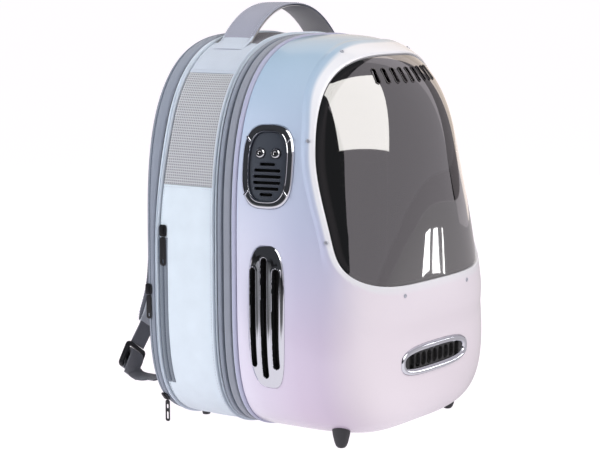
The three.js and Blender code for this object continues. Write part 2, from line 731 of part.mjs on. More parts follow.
const lowerWebStops = [
  { at: [126, PANEL_REAR + SEWN_GAP, 48], width: WEB.width },
  { at: [126, 141, 48], width: WEB.width },
  { at: [133.5, 151, 50.5], width: WEB.width },
  { at: [138, 158, 56], width: WEB.width },
];
const acrossBack = point(1, 0, 0);
const mirrorX = (stops) => stops.map(({ at, width }) => ({ at: [-at[0], at[1], at[2]], width }));
for (const side of ['right', 'left']) {
  const place = side === 'left' ? mirrorX : (stops) => stops;
  add(`strap_${side}`, pathBand(place(strapStops), STRAP_THICKNESS, acrossBack, 13), padCloth);
  add(`strap_web_upper_${side}`, pathBand(place(upperWebStops), WEB.thickness, acrossBack, 2), greyTape);
  add(`strap_web_lower_${side}`, pathBand(place(lowerWebStops), WEB.thickness, acrossBack, 5), greyTape);
}

// Ladder-lock buckles at the ends of the upper webbing.
function roundedRect(shape, halfAcross, halfTall, radius, offset = 0) {
  const right = halfAcross - radius;
  const top = halfTall - radius;
  shape.absarc(right, offset + top, radius, 0, Math.PI / 2, false);
  shape.absarc(-right, offset + top, radius, Math.PI / 2, Math.PI, false);
  shape.absarc(-right, offset - top, radius, Math.PI, 1.5 * Math.PI, false);
  shape.absarc(right, offset - top, radius, 1.5 * Math.PI, 2 * Math.PI, false);
  shape.closePath();
  return shape;
}
function plate(shape, depth) {
  const flat = new THREE.ExtrudeGeometry(shape, { depth, bevelEnabled: false, curveSegments: 1 });
  return flat.translate(0, 0, -depth / 2);
}
function setBasis(piece, across, up, out, at) {
  piece.applyMatrix4(new THREE.Matrix4().makeBasis(across, up, out).setPosition(at));
}
for (const side of [1, -1]) {
  const frame = roundedRect(new THREE.Shape(), BUCKLE.across / 2, BUCKLE.tall / 2, BUCKLE_RADIUS.corner);
  const holeAcross = BUCKLE.across / 2 - BUCKLE.bar;
  const holeTall = (BUCKLE.tall - 3 * BUCKLE.bar) / 4;
  for (const end of [-1, 1]) {
    const middle = end * (holeTall + BUCKLE.bar / 2);
    frame.holes.push(roundedRect(new THREE.Path(), holeAcross, holeTall, BUCKLE_RADIUS.hole, middle));
  }
  const up = point(side * -BUCKLE.lean, 0, 1).normalize();
  const out = point(0, 1, 0);
  const across = new THREE.Vector3().crossVectors(up, out);
  const name = side > 0 ? 'strap_buckle_right' : 'strap_buckle_left';
  const buckle = add(name, plate(frame, BUCKLE.thick), blackPlastic);
  setBasis(buckle, across, up, out, point(side * BUCKLE.at[0], BUCKLE.at[1], BUCKLE.at[2]));
}

// Side pocket zip on the left flank: a tape along the gusset's rear edge, its slider and pull.
const POCKET = { front: 86, rear: 96.5, bottom: 54, top: 212.8, thickness: 0.6 };
const bowAt = (y) => (GUSSET_BOW * (GUSSET_REAR - y)) / (BOW_SHARE * (GUSSET_REAR - GUSSET_FRONT));
const pocketSection = [
  [bowAt(POCKET.front) + GAP, POCKET.front],
  [bowAt(POCKET.front) + GAP + POCKET.thickness, POCKET.front],
  [bowAt(POCKET.rear) + GAP + POCKET.thickness, POCKET.rear],
  [bowAt(POCKET.rear) + GAP, POCKET.rear],
];
const leftTurn = (height) => 2 - turnAtHeight(bodyCurve, height);
const pocketEnds = [leftTurn(POCKET.top), leftTurn(POCKET.bottom)];
const pocketTurns = lowerTurns.filter((turn) => turn > pocketEnds[0] && turn < pocketEnds[1]);
const pocketPath = [...pocketTurns, ...pocketEnds].sort((first, second) => first - second);
add('pocket_zip', bodyBand(pocketSection, pocketPath, false), greyTape);

// Sliders lie flat on the zip they run on, and pulls hang down from them. Offsets are out of the
// body's outline, for the underside of each slider and pull.
const ZIP_PLACES = [
  { name: 'pocket', y: 91.2, height: 220, under: 0.8, pullUnder: 1.5 },
  { name: 'door', y: 112, height: 155, under: 0.9, pullUnder: 0.9 },
  { name: 'corner', y: 110, height: 34, under: 0.9, pullUnder: 1.6 },
];
const ZIP_SIZES = {
  pocket: { across: 9, tall: 13, pullAcross: 8, pullTall: 31 },
  door: { across: 8, tall: 12, pullAcross: 6.5, pullTall: 26 },
  corner: { across: 8, tall: 11, pullAcross: 6, pullTall: 24 },
};
const SLIDER = { thickness: 1.7, radius: 2.5 };
const PULL = { thickness: 1, radius: 2.2 };
const PULL_HOLE = { edge: 2, halfTall: 3, radius: 1, fromTip: 7 };
for (const zip of ZIP_PLACES) {
  const { across: wide, tall, pullAcross, pullTall } = ZIP_SIZES[zip.name];
  const spot = outlineAt(bodyCurve, leftTurn(zip.height));
  const out = point(spot.outX, 0, spot.outZ);
  const up = point(spot.outZ, 0, -spot.outX);
  const across = new THREE.Vector3().crossVectors(up, out);
  const seat = point(spot.x, zip.y, spot.z);
  const block = roundedRect(new THREE.Shape(), wide / 2, tall / 2, SLIDER.radius);
  const slider = add(`${zip.name}_slider`, plate(block, SLIDER.thickness), blackPlastic);
  const rest = seat.clone().addScaledVector(out, zip.under + SLIDER.thickness / 2);
  setBasis(slider, across, up, out, rest);
  const tab = roundedRect(new THREE.Shape(), pullAcross / 2, pullTall / 2, PULL.radius);
  const hole = { half: pullAcross / 2 - PULL_HOLE.edge, middle: PULL_HOLE.fromTip - pullTall / 2 };
  tab.holes.push(
    roundedRect(new THREE.Path(), hole.half, PULL_HOLE.halfTall, PULL_HOLE.radius, hole.middle),
  );
  const pull = add(`${zip.name}_pull`, plate(tab, PULL.thickness), blackPlastic);
  const hang = seat.clone().addScaledVector(out, zip.pullUnder + PULL.thickness / 2);
  hang.addScaledVector(up, -tall / 2);
  hang.z -= pullTall / 2 + GAP;
  setBasis(pull, point(0, -1, 0), point(0, 0, 1), point(-1, 0, 0), hang);
}

// The middle of the box, from the dome's front to the straps' rear faces.
const BOX_MIDDLE = 10.4;
carrier.position.y = -BOX_MIDDLE;
const standing = new THREE.Group();
standing.name = 'pet_carrier_backpack';
standing.add(carrier);

export default standing;
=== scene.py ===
import math

import bmesh
import bpy
import numpy as np
from mathutils import Matrix, Quaternion, Vector


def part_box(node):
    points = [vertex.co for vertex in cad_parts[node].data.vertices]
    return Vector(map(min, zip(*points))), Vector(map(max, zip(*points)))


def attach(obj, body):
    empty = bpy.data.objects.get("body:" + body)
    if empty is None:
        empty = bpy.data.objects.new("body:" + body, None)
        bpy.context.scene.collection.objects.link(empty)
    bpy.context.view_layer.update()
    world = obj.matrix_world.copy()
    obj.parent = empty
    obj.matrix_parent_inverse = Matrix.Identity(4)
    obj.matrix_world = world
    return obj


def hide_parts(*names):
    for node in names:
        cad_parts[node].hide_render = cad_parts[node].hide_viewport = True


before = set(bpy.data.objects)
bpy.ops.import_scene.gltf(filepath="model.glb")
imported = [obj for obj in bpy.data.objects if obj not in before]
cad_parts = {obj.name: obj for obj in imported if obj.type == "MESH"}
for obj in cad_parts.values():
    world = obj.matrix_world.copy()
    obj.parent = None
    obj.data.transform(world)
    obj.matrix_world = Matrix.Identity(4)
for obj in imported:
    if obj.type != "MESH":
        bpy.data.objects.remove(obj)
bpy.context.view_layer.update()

# Camera: a long lens in front of the window and round towards the left flank, a little above the
# middle. The shift only sets the carrier where the photograph has it.
FRAME_WIDTH = 600
SENSOR_WIDTH = 36
FOCAL_PIXELS = 1820.3
SHIFT_PIXELS = (-20.2, 1.9)
CAMERA_AIM = Vector((0, -0.0104, 0.213))
CAMERA_DISTANCE = 2.0207
CAMERA_AZIMUTH = math.radians(-55.19)
CAMERA_PITCH = math.radians(7.74)


def direction(azimuth, elevation):
    """The way out towards an azimuth, 0 in front of the window, and an elevation, in radians."""
    level = math.cos(elevation)
    return Vector((math.sin(azimuth) * level, -math.cos(azimuth) * level, math.sin(elevation)))


camera_data = bpy.data.cameras.new("camera")
camera_data.sensor_width = SENSOR_WIDTH
camera_data.lens = SENSOR_WIDTH * FOCAL_PIXELS / FRAME_WIDTH
camera_data.shift_x = SHIFT_PIXELS[0] / FRAME_WIDTH
camera_data.shift_y = SHIFT_PIXELS[1] / FRAME_WIDTH
camera = bpy.data.objects.new("camera", camera_data)
camera_back = direction(CAMERA_AZIMUTH, CAMERA_PITCH)
camera.location = CAMERA_AIM + CAMERA_DISTANCE * camera_back
camera.rotation_euler = camera_back.to_track_quat("Z", "Y").to_euler()
bpy.context.scene.collection.objects.link(camera)
bpy.context.scene.camera = camera


# Front shell: one glossy moulded dome, sprayed from sky blue at the top to pink at the bottom, with a
# raised bezel round the window. It is bored for the fan module, the side grille and the front vent.
BODY = {"half": 0.161, "top": 0.426, "bottom": 0.0071, "widest": 0.208, "upper": 2.87, "lower": 4.55}
OPENING = {"half": 0.1345, "top": 0.406, "bottom": 0.1695, "widest": 0.232, "upper": 3.05, "lower": 4.5}
PROFILE = {"top": 0.426, "bottom": 0.0048, "widest": 0.177, "upper": 3.09, "lower": 6.95}
DOME_DEPTH = 0.1446
JOINT = -0.0104
RIM_PLANE = JOINT - 0.006
ROUNDNESS = {"low": 4.6, "low_height": 0.02, "high": 2.14, "high_height": 0.31}
SHELL_WALL = 0.003
BEZEL_RISE = 0.0025
BEZEL_LIP = 0.0009
BEZEL_FOOT = {"from": 0.085, "over": 0.065}
BEZEL_WIDTH = {"side": 0.0055, "top": 0.013, "from": 0.33, "over": 0.06}
BEZEL_CORNER = {"loss": 0.65, "from": 0.03, "over": 0.075}
BEZEL_BLUR = {"margin": 0.0012, "over": 0.002}
APRON = {"width": 0.028, "below": 0.19, "over": 0.02}
FALL = {"low": 0.03, "high": 0.0025, "from": 0.12, "over": 0.1}
CROWDING = 2.2
RIM_ROUND = ((0, 0.0009), (0.0003, 0.0003), (0.0010, 0))
LOOP_STEPS = 420
OUTLINE_STEPS = 40001
SMOOTH_UP_TO = math.radians(40)


def ease(share):
    """A share between 0 and 1, with soft ends."""
    share = np.clip(share, 0, 1)
    return share * share * (3 - 2 * share)


def mix(first, last, share):
    return first + (last - first) * share


def powered(value, power):
    """A value raised to a power, with its sign kept."""
    return np.sign(value) * np.abs(value) ** power


def turns(count, offset=0.5):
    """Angles evenly round a circle."""
    return 2 * np.pi * (np.arange(count) + offset) / count


def run_along(spots):
    """Distances along a line of points, from 0 at its first one."""
    return np.concatenate([[0], np.cumsum(np.linalg.norm(np.diff(spots, axis=0), axis=1))])


def outline_run(shape):
    """A front outline in close steps, from its bottom up the +X side and round, and its run in metres."""
    angle = np.linspace(-np.pi / 2, 1.5 * np.pi, OUTLINE_STEPS)
    high = np.sin(angle) > 0
    power = np.where(high, 2 / shape["upper"], 2 / shape["lower"])
    height = np.where(high, shape["top"], shape["bottom"]) - shape["widest"]
    x = shape["half"] * powered(np.cos(angle), power)
    z = shape["widest"] + height * np.abs(np.sin(angle)) ** power
    return x, z, run_along(np.stack([x, z], axis=-1))


def outline_at(shape, shares):
    """Places on a front outline and the ways out of it. Share 0 is the bottom and 0.5 the top."""
    x, z, run = outline_run(shape)
    whole = run[-1]
    at = np.asarray(shares) % 1 * whole
    step = whole * 2e-4
    ahead, behind = (at + step) % whole, (at - step) % whole
    along_x = np.interp(ahead, run, x) - np.interp(behind, run, x)
    along_z = np.interp(ahead, run, z) - np.interp(behind, run, z)
    size = np.hypot(along_x, along_z)
    return np.interp(at, run, x), np.interp(at, run, z), along_z / size, -along_x / size


def half_at(half, z, shape):
    """Half the width, or the depth, that is left at a height of an outline."""
    high = z > shape["widest"]
    span = np.where(high, shape["top"] - shape["widest"], shape["widest"] - shape["bottom"])
    power = np.where(high, shape["upper"], shape["lower"])
    share = np.clip(np.abs(z - shape["widest"]) / span, 0, 1)
    return half * np.maximum(1e-9, 1 - share**power) ** (1 / power)


def dome_section(z):
    """Half width, depth and roundness of the dome's level section at a height."""
    rise = (z - ROUNDNESS["low_height"]) / (ROUNDNESS["high_height"] - ROUNDNESS["low_height"])
    power = mix(ROUNDNESS["low"], ROUNDNESS["high"], ease(rise))
    return half_at(BODY["half"], z, BODY), half_at(DOME_DEPTH, z, PROFILE), power


def dome_level(spots):
    """Below 1 inside the dome and above 1 outside it."""
    half, depth, power = dome_section(spots[..., 2])
    forward = np.abs(spots[..., 1] - RIM_PLANE)
    return (np.abs(spots[..., 0]) / half) ** power + (forward / depth) ** power


def dome_normal(spots):
    """The ways out of the dome at places on it."""
    steps = np.eye(3) * 5e-5
    slope = np.stack([dome_level(spots + step) - dome_level(spots - step) for step in steps], axis=-1)
    return slope / np.linalg.norm(slope, axis=-1, keepdims=True)


def dome_point(x, z, out):
    """The dome's surface over places of its front view, moved out of the surface."""
    half, depth, power = dome_section(z)
    share = np.clip(1 - (np.abs(x) / half) ** power, 0, 1)
    spots = np.stack([x, RIM_PLANE - depth * share ** (1 / power), z], axis=-1)
    return spots + dome_normal(spots) * np.asarray(out)[..., None]


def skin(name, rings, joined=False, along=None, around=None, second=None):
    """A closed body from rings of points. The rings join end to end, or have a flat end each.
    along and around give a UV map in metres, and second marks points that take the second material."""
    rows, size = rings.shape[:2]
    steps = rows if joined else rows - 1
    row, spot = np.repeat(np.arange(steps), size), np.tile(np.arange(size), steps)
    next_row, next_spot = (row + 1) % rows, (spot + 1) % size
    corners = [row * size + spot, row * size + next_spot]
    corners += [next_row * size + next_spot, next_row * size + spot]
    faces = np.stack(corners, axis=1).tolist()
    if not joined:
        faces += [list(range(size))[::-1], list(range((rows - 1) * size, rows * size))]
    mesh = bpy.data.meshes.new(name)
    mesh.from_pydata(rings.reshape(-1, 3).tolist(), [], faces)
    if along is not None:
        along, around = np.asarray(along), np.asarray(around)
        u = np.stack([along[row], along[row], along[row + 1], along[row + 1]], axis=1)
        v = np.stack([around[spot], around[spot + 1], around[spot + 1], around[spot]], axis=1)
        flat = np.zeros((len(mesh.loops), 2))
        flat[: u.size] = np.stack([u.ravel(), v.ravel()], axis=1)
        mesh.uv_layers.new(name="UVMap").data.foreach_set("uv", flat.ravel())
    if second is not None:
        marks = np.asarray(second, float).ravel()
        share = sum(marks[np.asarray(corner)] for corner in corners) / 4
        index = np.zeros(len(mesh.polygons), int)
        index[: len(share)] = share > 0.5
        mesh.polygons.foreach_set("material_index", index)
    shell = bmesh.new()
    shell.from_mesh(mesh)
    bmesh.ops.recalc_face_normals(shell, faces=shell.faces)
    shell.to_mesh(mesh)
    shell.free()
    return show(name, mesh)


def show(name, mesh):
    """An object at the origin for a finished mesh, shaded smooth up to 40 degrees."""
    mesh.polygons.foreach_set("use_smooth", [True] * len(mesh.polygons))
    mesh.set_sharp_from_angle(angle=SMOOTH_UP_TO)
    made = bpy.data.objects.new(name, mesh)
    bpy.context.scene.collection.objects.link(made)
    return made


def bake(made):
    """Turns an object's modifiers into its plain mesh."""
    graph = bpy.context.evaluated_depsgraph_get()
    mesh = bpy.data.meshes.new_from_object(made.evaluated_get(graph))
    made.modifiers.clear()
    made.data = mesh
    return made


def bore(made, cutters):
    """Cuts other bodies out of a piece and removes them."""
    for cutter in cutters:
        hole = made.modifiers.new("bore", "BOOLEAN")
        hole.object = cutter
        hole.solver = "EXACT"
    bake(made)
    for cutter in cutters:
        bpy.data.objects.remove(cutter)
    made.data.set_sharp_from_angle(angle=SMOOTH_UP_TO)
    return made


def seat_on_dome(middle):
    """A seat for a fitting: its middle, the way out, and the ways across and up the surface."""
    out = dome_normal(middle)
    up = np.array((0, 0, 1)) - out * out[2]
    up = up / np.linalg.norm(up)
    return {"middle": middle, "out": out, "up": up, "across": np.cross(up, out)}


def flank_point(y, z):
    """A place on the dome's left flank."""
    half, depth, power = dome_section(np.array(z))
    share = 1 - (abs(y - RIM_PLANE) / depth) ** power
    return np.array((-half * share ** (1 / power), y, z))


def on_plane(seat, across, up, height):
    """Places of a seat's plane, moved out by a height."""
    place = np.multiply.outer(across, seat["across"]) + np.multiply.outer(up, seat["up"])
    return seat["middle"] + place + np.multiply.outer(height, seat["out"])


def oval_at(shape, inset, angle):
    """Places on an oval's edge at angles, moved in from it."""
    power = 2 / shape["power"]
    across = (shape["across"] - inset) * powered(np.cos(angle), power)
    return across, (shape["up"] - inset) * powered(np.sin(angle), power)


def punch(seat, across, up, depth):
    """A body with this outline through a seat's plane, to cut a hole with."""
    ends = [on_plane(seat, across, up, np.full(len(up), end)) for end in (-depth, depth)]
    return skin("punch", np.array(ends))


def finish(name, sockets):
    """A material whose principled shader has these values on its own sockets."""
    made = bpy.data.materials.new(name)
    made.use_nodes = True
    shader = made.node_tree.nodes["Principled BSDF"]
    for socket, value in sockets.items():
        shader.inputs[socket].default_value = value
    return made


def step(tree, kind, inputs, **settings):
    """Adds a node to a tree. An input is a value, or another node's output to link."""
    made = tree.nodes.new(kind)
    for name, value in settings.items():
        setattr(made, name, value)
    for socket, value in inputs.items():
        if isinstance(value, bpy.types.NodeSocket):
            tree.links.new(value, made.inputs[socket])
        else:
            made.inputs[socket].default_value = value
    return made


def node(material, kind, inputs=None, **settings):
    """Adds a shader node to a material."""
    return step(material.node_tree, "ShaderNode" + kind, inputs or {}, **settings)


def feed(material, socket, output):
    shader = material.node_tree.nodes["Principled BSDF"]
    material.node_tree.links.new(output, shader.inputs[socket])


def ramp(material, factor, stops):
    """A colour ramp with a stop for each (place, colour)."""
    made = node(material, "ValToRGB", {"Fac": factor})
    while len(made.color_ramp.elements) < len(stops):
        made.color_ramp.elements.new(0.5)
    for element, (place, colour) in zip(made.color_ramp.elements, stops):
        element.position = place
        element.color = (*colour, 1)
    return made.outputs["Color"]


def remap(material, value, from_low, from_high, to_low=0, to_high=1, **settings):
    """A value moved from one range to another."""
    limits = {"From Min": from_low, "From Max": from_high, "To Min": to_low, "To Max": to_high}
    return node(material, "MapRange", {"Value": value, **limits}, **settings).outputs["Result"]


def reckon(material, operation, first, second=0.0):
    """The result of an operation on one or two values."""
    return node(material, "Math", {0: first, 1: second}, operation=operation).outputs[0]


def blend(material, share, first, last):
    """A mix of two colours."""
    return node(material, "Mix", {0: share, 6: first, 7: last}, data_type="RGBA").outputs[2]


def mottle(material, scale, low, high, detail=3):
    """Soft noise between two values."""
    place = node(material, "TexCoord").outputs["Object"]
    noise = node(material, "TexNoise", {"Vector": place, "Scale": scale, "Detail": detail})
    return remap(material, noise.outputs["Fac"], 0, 1, low, high)


def bump(material, height, distance, strength=1.0):
    inputs = {"Height": height, "Distance": distance, "Strength": strength}
    return node(material, "Bump", inputs).outputs["Normal"]


def hard(name, colour, scale, low, high, metallic=0):
    """A hard finish of one colour, whose roughness is mottled between two values."""
    made = finish(name, {"Base Color": (*colour, 1), "Metallic": metallic, "Roughness": (low + high) / 2})
    feed(made, "Roughness", mottle(made, scale, low, high))
    return made


def settle(made, materials, slot, *stood_for, body="carrier"):
    """Gives a finished piece its materials and body, and hides the solids that it stands for. Its record slot
    is not used.
    """
    if not made.data.materials:
        for material in materials:
            made.data.materials.append(material)
    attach(made, body)
    if stood_for:
        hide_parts(*stood_for)
    return made


FAN = {"across": 0.0285, "up": 0.0435, "power": 3.1}
GRILLE = {"across": 0.0225, "up": 0.075, "power": 3.3}
VENT = {"across": 0.0665, "up": 0.0165, "power": 3}
FIT_GAP = 0.0003
HOLE_DEPTH = 0.018
HOLE_STEPS = 96
FAN_PLACE = (JOINT - 0.0401, 0.2956)
GRILLE_PLACE = (JOINT - 0.0432, 0.1394)
VENT_HEIGHT = 0.0865
fan_seat = seat_on_dome(flank_point(*FAN_PLACE))
grille_seat = seat_on_dome(flank_point(*GRILLE_PLACE))
vent_seat = seat_on_dome(dome_point(np.array(0.0), np.array(VENT_HEIGHT), 0.0))


def edge_inset(x_share, z_share, x_half, z_half, power):
    """About how far inside an oval's edge places lie, in metres, from their shares of its half sizes."""
    level = np.maximum(x_share**power + z_share**power, 1e-9)
    slope = np.hypot(x_share ** (power - 1) / x_half, z_share ** (power - 1) / z_half)
    return (1 - level ** (1 / power)) / np.maximum(slope * level ** (1 / power - 1), 1e-2)


def front_inset(shape, x, z):
    """About how far places of the front view lie inside an outline, in metres."""
    high = z > shape["widest"]
    power = np.where(high, shape["upper"], shape["lower"])
    span = np.abs(np.where(high, shape["top"], shape["bottom"]) - shape["widest"])
    x_share, z_share = np.abs(x) / shape["half"], np.abs(z - shape["widest"]) / span
    return edge_inset(x_share, z_share, shape["half"], span, power)


def spots_of(mesh):
    spots = np.empty(len(mesh.vertices) * 3)
    mesh.vertices.foreach_get("co", spots)
    return spots.reshape(-1, 3)


def mark(made, name, values):
    """Keeps a value for each point, for the piece's material."""
    made.data.attributes.new(name, "FLOAT", "POINT").data.foreach_set("value", values)


def bezel_rise(z):
    return BEZEL_RISE * ease((z - BEZEL_FOOT["from"]) / BEZEL_FOOT["over"])


def bezel_width(x, z):
    """Width of the bezel in the front view: wider over the window than at its sides and corners."""
    lost = BEZEL_CORNER["loss"] * ease((np.abs(x) - BEZEL_CORNER["from"]) / BEZEL_CORNER["over"])
    over = ease((z - BEZEL_WIDTH["from"]) / BEZEL_WIDTH["over"]) * (1 - lost)
    return mix(BEZEL_WIDTH["side"], BEZEL_WIDTH["top"], over)


def shell_rings():
    """Sections of the shell from the window's edge over the bezel to the rim, and back inside it."""
    shares = np.arange(LOOP_STEPS) / LOOP_STEPS
    edge_x, edge_z, edge_out_x, edge_out_z = outline_at(OPENING, shares)
    rim_x, rim_z, rim_out_x, rim_out_z = outline_at(BODY, shares)
    width = bezel_width(edge_x, edge_z) + APRON["width"] * ease((APRON["below"] - edge_z) / APRON["over"])
    crease_x, crease_z = edge_x + width * edge_out_x, edge_z + width * edge_out_z
    fall = mix(FALL["low"], FALL["high"], ease((crease_z - FALL["from"]) / FALL["over"]))
    foot_x, foot_z = crease_x + fall * edge_out_x, crease_z + fall * edge_out_z
    places = [(edge_x, edge_z, bezel_rise(edge_z) - BEZEL_LIP)]
    for share in np.linspace(0, 1, 8):
        x = mix(edge_x + BEZEL_LIP * edge_out_x, crease_x, share)
        z = mix(edge_z + BEZEL_LIP * edge_out_z, crease_z, share)
        places.append((x, z, bezel_rise(z)))
    for share in np.linspace(0, 1, 9)[1:]:
        x, z = mix(crease_x, foot_x, share), mix(crease_z, foot_z, share)
        places.append((x, z, bezel_rise(crease_z) * (1 - ease(share))))
    for share in 1 - (1 - np.linspace(0, 1, 58)[1:-1]) ** CROWDING:
        x, z = mix(foot_x, rim_x, share), mix(foot_z, rim_z, share)
        places.append((x, z, np.zeros(LOOP_STEPS)))
    outside = [dome_point(x, z, out) for x, z, out in places]
    inside = [dome_point(x, z, np.full(LOOP_STEPS, -SHELL_WALL)) for x, z, _ in places[::5]]
    rim_rows = [(outside, inset, ahead) for inset, ahead in RIM_ROUND] + [(inside, SHELL_WALL, 0)]
    for rows, inset, ahead in rim_rows:
        rim_y = np.full(LOOP_STEPS, RIM_PLANE - ahead)
        rows.append(np.stack([rim_x - inset * rim_out_x, rim_y, rim_z - inset * rim_out_z], axis=-1))
    hidden = [np.zeros(LOOP_STEPS)] * len(outside) + [np.ones(LOOP_STEPS)] * len(inside)
    return np.stack(outside + inside[::-1], axis=1), np.stack(hidden, axis=1)


shell_points, shell_inside = shell_rings()
shell = skin("dome_shell", shell_points, joined=True, second=shell_inside)
shell_holes = ((fan_seat, FAN), (grille_seat, GRILLE), (vent_seat, VENT))
bore(shell, [punch(seat, *oval_at(shape, -FIT_GAP, turns(HOLE_STEPS)), HOLE_DEPTH)
             for seat, shape in shell_holes])

shell_spots = spots_of(shell.data)
shell_x, shell_z = shell_spots[:, 0], shell_spots[:, 2]
# Mask of a painted highlight over the bezel: the bezel has the same paint as the shell, whitened here where
# it faces the front key light.
on_bezel = bezel_width(shell_x, shell_z) + BEZEL_BLUR["margin"] + front_inset(OPENING, shell_x, shell_z)
mark(shell, "bezel", ease(on_bezel / BEZEL_BLUR["over"]))

SPRAY = ((0.0, (0.64, 0.54, 0.68)), (0.25, (0.60, 0.53, 0.68)), (0.52, (0.50, 0.53, 0.70)),
         (0.78, (0.45, 0.54, 0.70)), (1.0, (0.37, 0.51, 0.65)))
SPRAY_HEIGHTS = (0.02, 0.42)
RIM_FADE = (-0.09, -0.025)
BELOW_FAN = (0.22, 0.33)
FRONT_FADE = (-0.112, -0.155)
# Near-white pink of the painted light on the front face.
FRONT_PAINTED_LIGHT = (0.89, 0.83, 0.89, 1)
# Pale blue of the painted light on the flank near the rim.
RIM_PAINTED_LIGHT = (0.78, 0.79, 0.90, 1)
# Near-white of the bezel's painted highlight.
BEZEL_HIGHLIGHT = (0.82, 0.83, 0.88, 1)
shell_paint = finish("shell_paint", {"Roughness": 0.3, "Coat Weight": 0.7, "Coat Roughness": 0.1, "IOR": 1.5})
shell_place = node(shell_paint, "SeparateXYZ", {0: node(shell_paint, "TexCoord").outputs["Object"]}).outputs
sprayed = ramp(shell_paint, remap(shell_paint, shell_place["Z"], *SPRAY_HEIGHTS), SPRAY)
# Painted light: the flank is blended paler towards its rear rim, below the fan, as if lit by the left-rear
# softbox.
near_rim = remap(shell_paint, shell_place["Y"], *RIM_FADE, 0, 0.45)
below_fan = remap(shell_paint, shell_place["Z"], *BELOW_FAN, 1, 0)
rim_lit = blend(shell_paint, reckon(shell_paint, "MULTIPLY", near_rim, below_fan), sprayed, RIM_PAINTED_LIGHT)
# Painted light: the front face is blended towards near-white, as if lit by the front key.
on_front = remap(shell_paint, shell_place["Y"], *FRONT_FADE, 0, 0.85, interpolation_type="SMOOTHSTEP")
front_lit = blend(shell_paint, on_front, rim_lit, FRONT_PAINTED_LIGHT)
# Painted highlight: the bezel mask blends the paint towards near-white.
bezel = node(shell_paint, "Attribute", attribute_name="bezel").outputs["Fac"]
bezel_highlighted = blend(shell_paint, bezel, front_lit, BEZEL_HIGHLIGHT)
flake = mottle(shell_paint, 1800, 0.97, 1.03, detail=1)
flaked = node(shell_paint, "HueSaturation", {"Color": bezel_highlighted, "Value": flake})
feed(shell_paint, "Base Color", flaked.outputs["Color"])
feed(shell_paint, "Roughness", mottle(shell_paint, 9, 0.27, 0.34))
feed(shell_paint, "Normal", bump(shell_paint, mottle(shell_paint, 700, 0, 1, detail=2), 0.00002))
inner_coat = hard("inner_coat", (0.012, 0.012, 0.014), 120, 0.5, 0.75)
settle(shell, [shell_paint, inner_coat], "shell_paint", "front_shell")


# Window: one smoked, see-through bubble in the shell's opening, with an opaque black band along its
# edge and a row of slanted air slots along its top, each with a small moulded rim.
WINDOW_WALL = 0.0025
WINDOW_BORDER = {"width": 0.004, "blur": 0.0015}
SMOKE = (0.07, 0.06, 0.065, 1)
EDGE_BLACK = (0.006, 0.006, 0.007, 1)
SLOT_COUNT = 9
SLOT_PITCH = 0.013
SLOT_HEIGHT = 0.3855
SLOT_DEPTH = 0.01
SLOT = {"half_width": 0.0023, "half_length": 0.009}
PANE = dict(OPENING, half=0.1341, top=0.4056, bottom=0.1699)
END_TILT = np.pi / 2 - 0.02


def front_grid(shape, rows, columns):
    """Places all over an outline of the front view, in level rows."""
    tilt = np.linspace(-1, 1, rows) * END_TILT
    high = tilt > 0
    power = np.where(high, 2 / shape["upper"], 2 / shape["lower"])
    height = np.where(high, shape["top"], shape["bottom"]) - shape["widest"]
    z = shape["widest"] + height * np.abs(np.sin(tilt)) ** power
    x = np.multiply.outer(shape["half"] * np.cos(tilt) ** power, np.linspace(-1, 1, columns))
    return x, np.repeat(z[:, None], columns, axis=1)


def window_rings():
    """Level sections of the window, its outside and then its inside."""
    x, z = front_grid(PANE, 150, 84)
    outside = dome_point(x, z, np.zeros_like(x))
    inside = dome_point(x, z, np.full_like(x, -WINDOW_WALL))
    return np.concatenate([outside, inside[:, ::-1]], axis=1)


def capsule(half_width, half_length, count=24):
    """A slot's outline: two straight sides with round ends."""
    angle = turns(count)
    up = half_width * np.sin(angle) + np.sign(np.sin(angle)) * (half_length - half_width)
    return half_width * np.cos(angle), up


slot_places = (np.arange(SLOT_COUNT) - (SLOT_COUNT - 1) / 2) * SLOT_PITCH
slot_seats = [seat_on_dome(dome_point(np.array(x), np.array(SLOT_HEIGHT), 0.0)) for x in slot_places]
slot_across, slot_up = capsule(SLOT["half_width"], SLOT["half_length"])
pane = bore(skin("window_bubble", window_rings()),
            [punch(seat, slot_across, slot_up, SLOT_DEPTH) for seat in slot_seats])
pane_spots = spots_of(pane.data)
on_border = WINDOW_BORDER["width"] - front_inset(PANE, pane_spots[:, 0], pane_spots[:, 2])
mark(pane, "border", ease(on_border / WINDOW_BORDER["blur"]))

smoked_window = finish("smoked_window", {"Roughness": 0.02, "IOR": 1.5, "Coat Weight": 1, "Coat IOR": 2.8})
black_edge = node(smoked_window, "Attribute", attribute_name="border").outputs["Fac"]
feed(smoked_window, "Base Color", blend(smoked_window, black_edge, SMOKE, EDGE_BLACK))
feed(smoked_window, "Transmission Weight", remap(smoked_window, black_edge, 0, 1, 1, 0))
settle(pane, [smoked_window], "smoked_window", "window")


def group(name, sockets):
    """A new geometry node group with these inputs after its geometry."""
    tree = bpy.data.node_groups.new(name, "GeometryNodeTree")
    tree.interface.new_socket("Geometry", in_out="INPUT", socket_type="NodeSocketGeometry")
    for label, kind in sockets.items():
        tree.interface.new_socket(label, in_out="INPUT", socket_type="NodeSocket" + kind)
    tree.interface.new_socket("Geometry", in_out="OUTPUT", socket_type="NodeSocketGeometry")
    return tree, tree.nodes.new("NodeGroupInput").outputs


def close_group(tree, instances, material):
    """Ends a group: real geometry with its finish."""
    real = step(tree, "GeometryNodeRealizeInstances", {"Geometry": instances})
    coated = step(tree, "GeometryNodeSetMaterial", {"Geometry": real.outputs[0], "Material": material})
    step(tree, "NodeGroupOutput", {"Geometry": coated.outputs[0]})


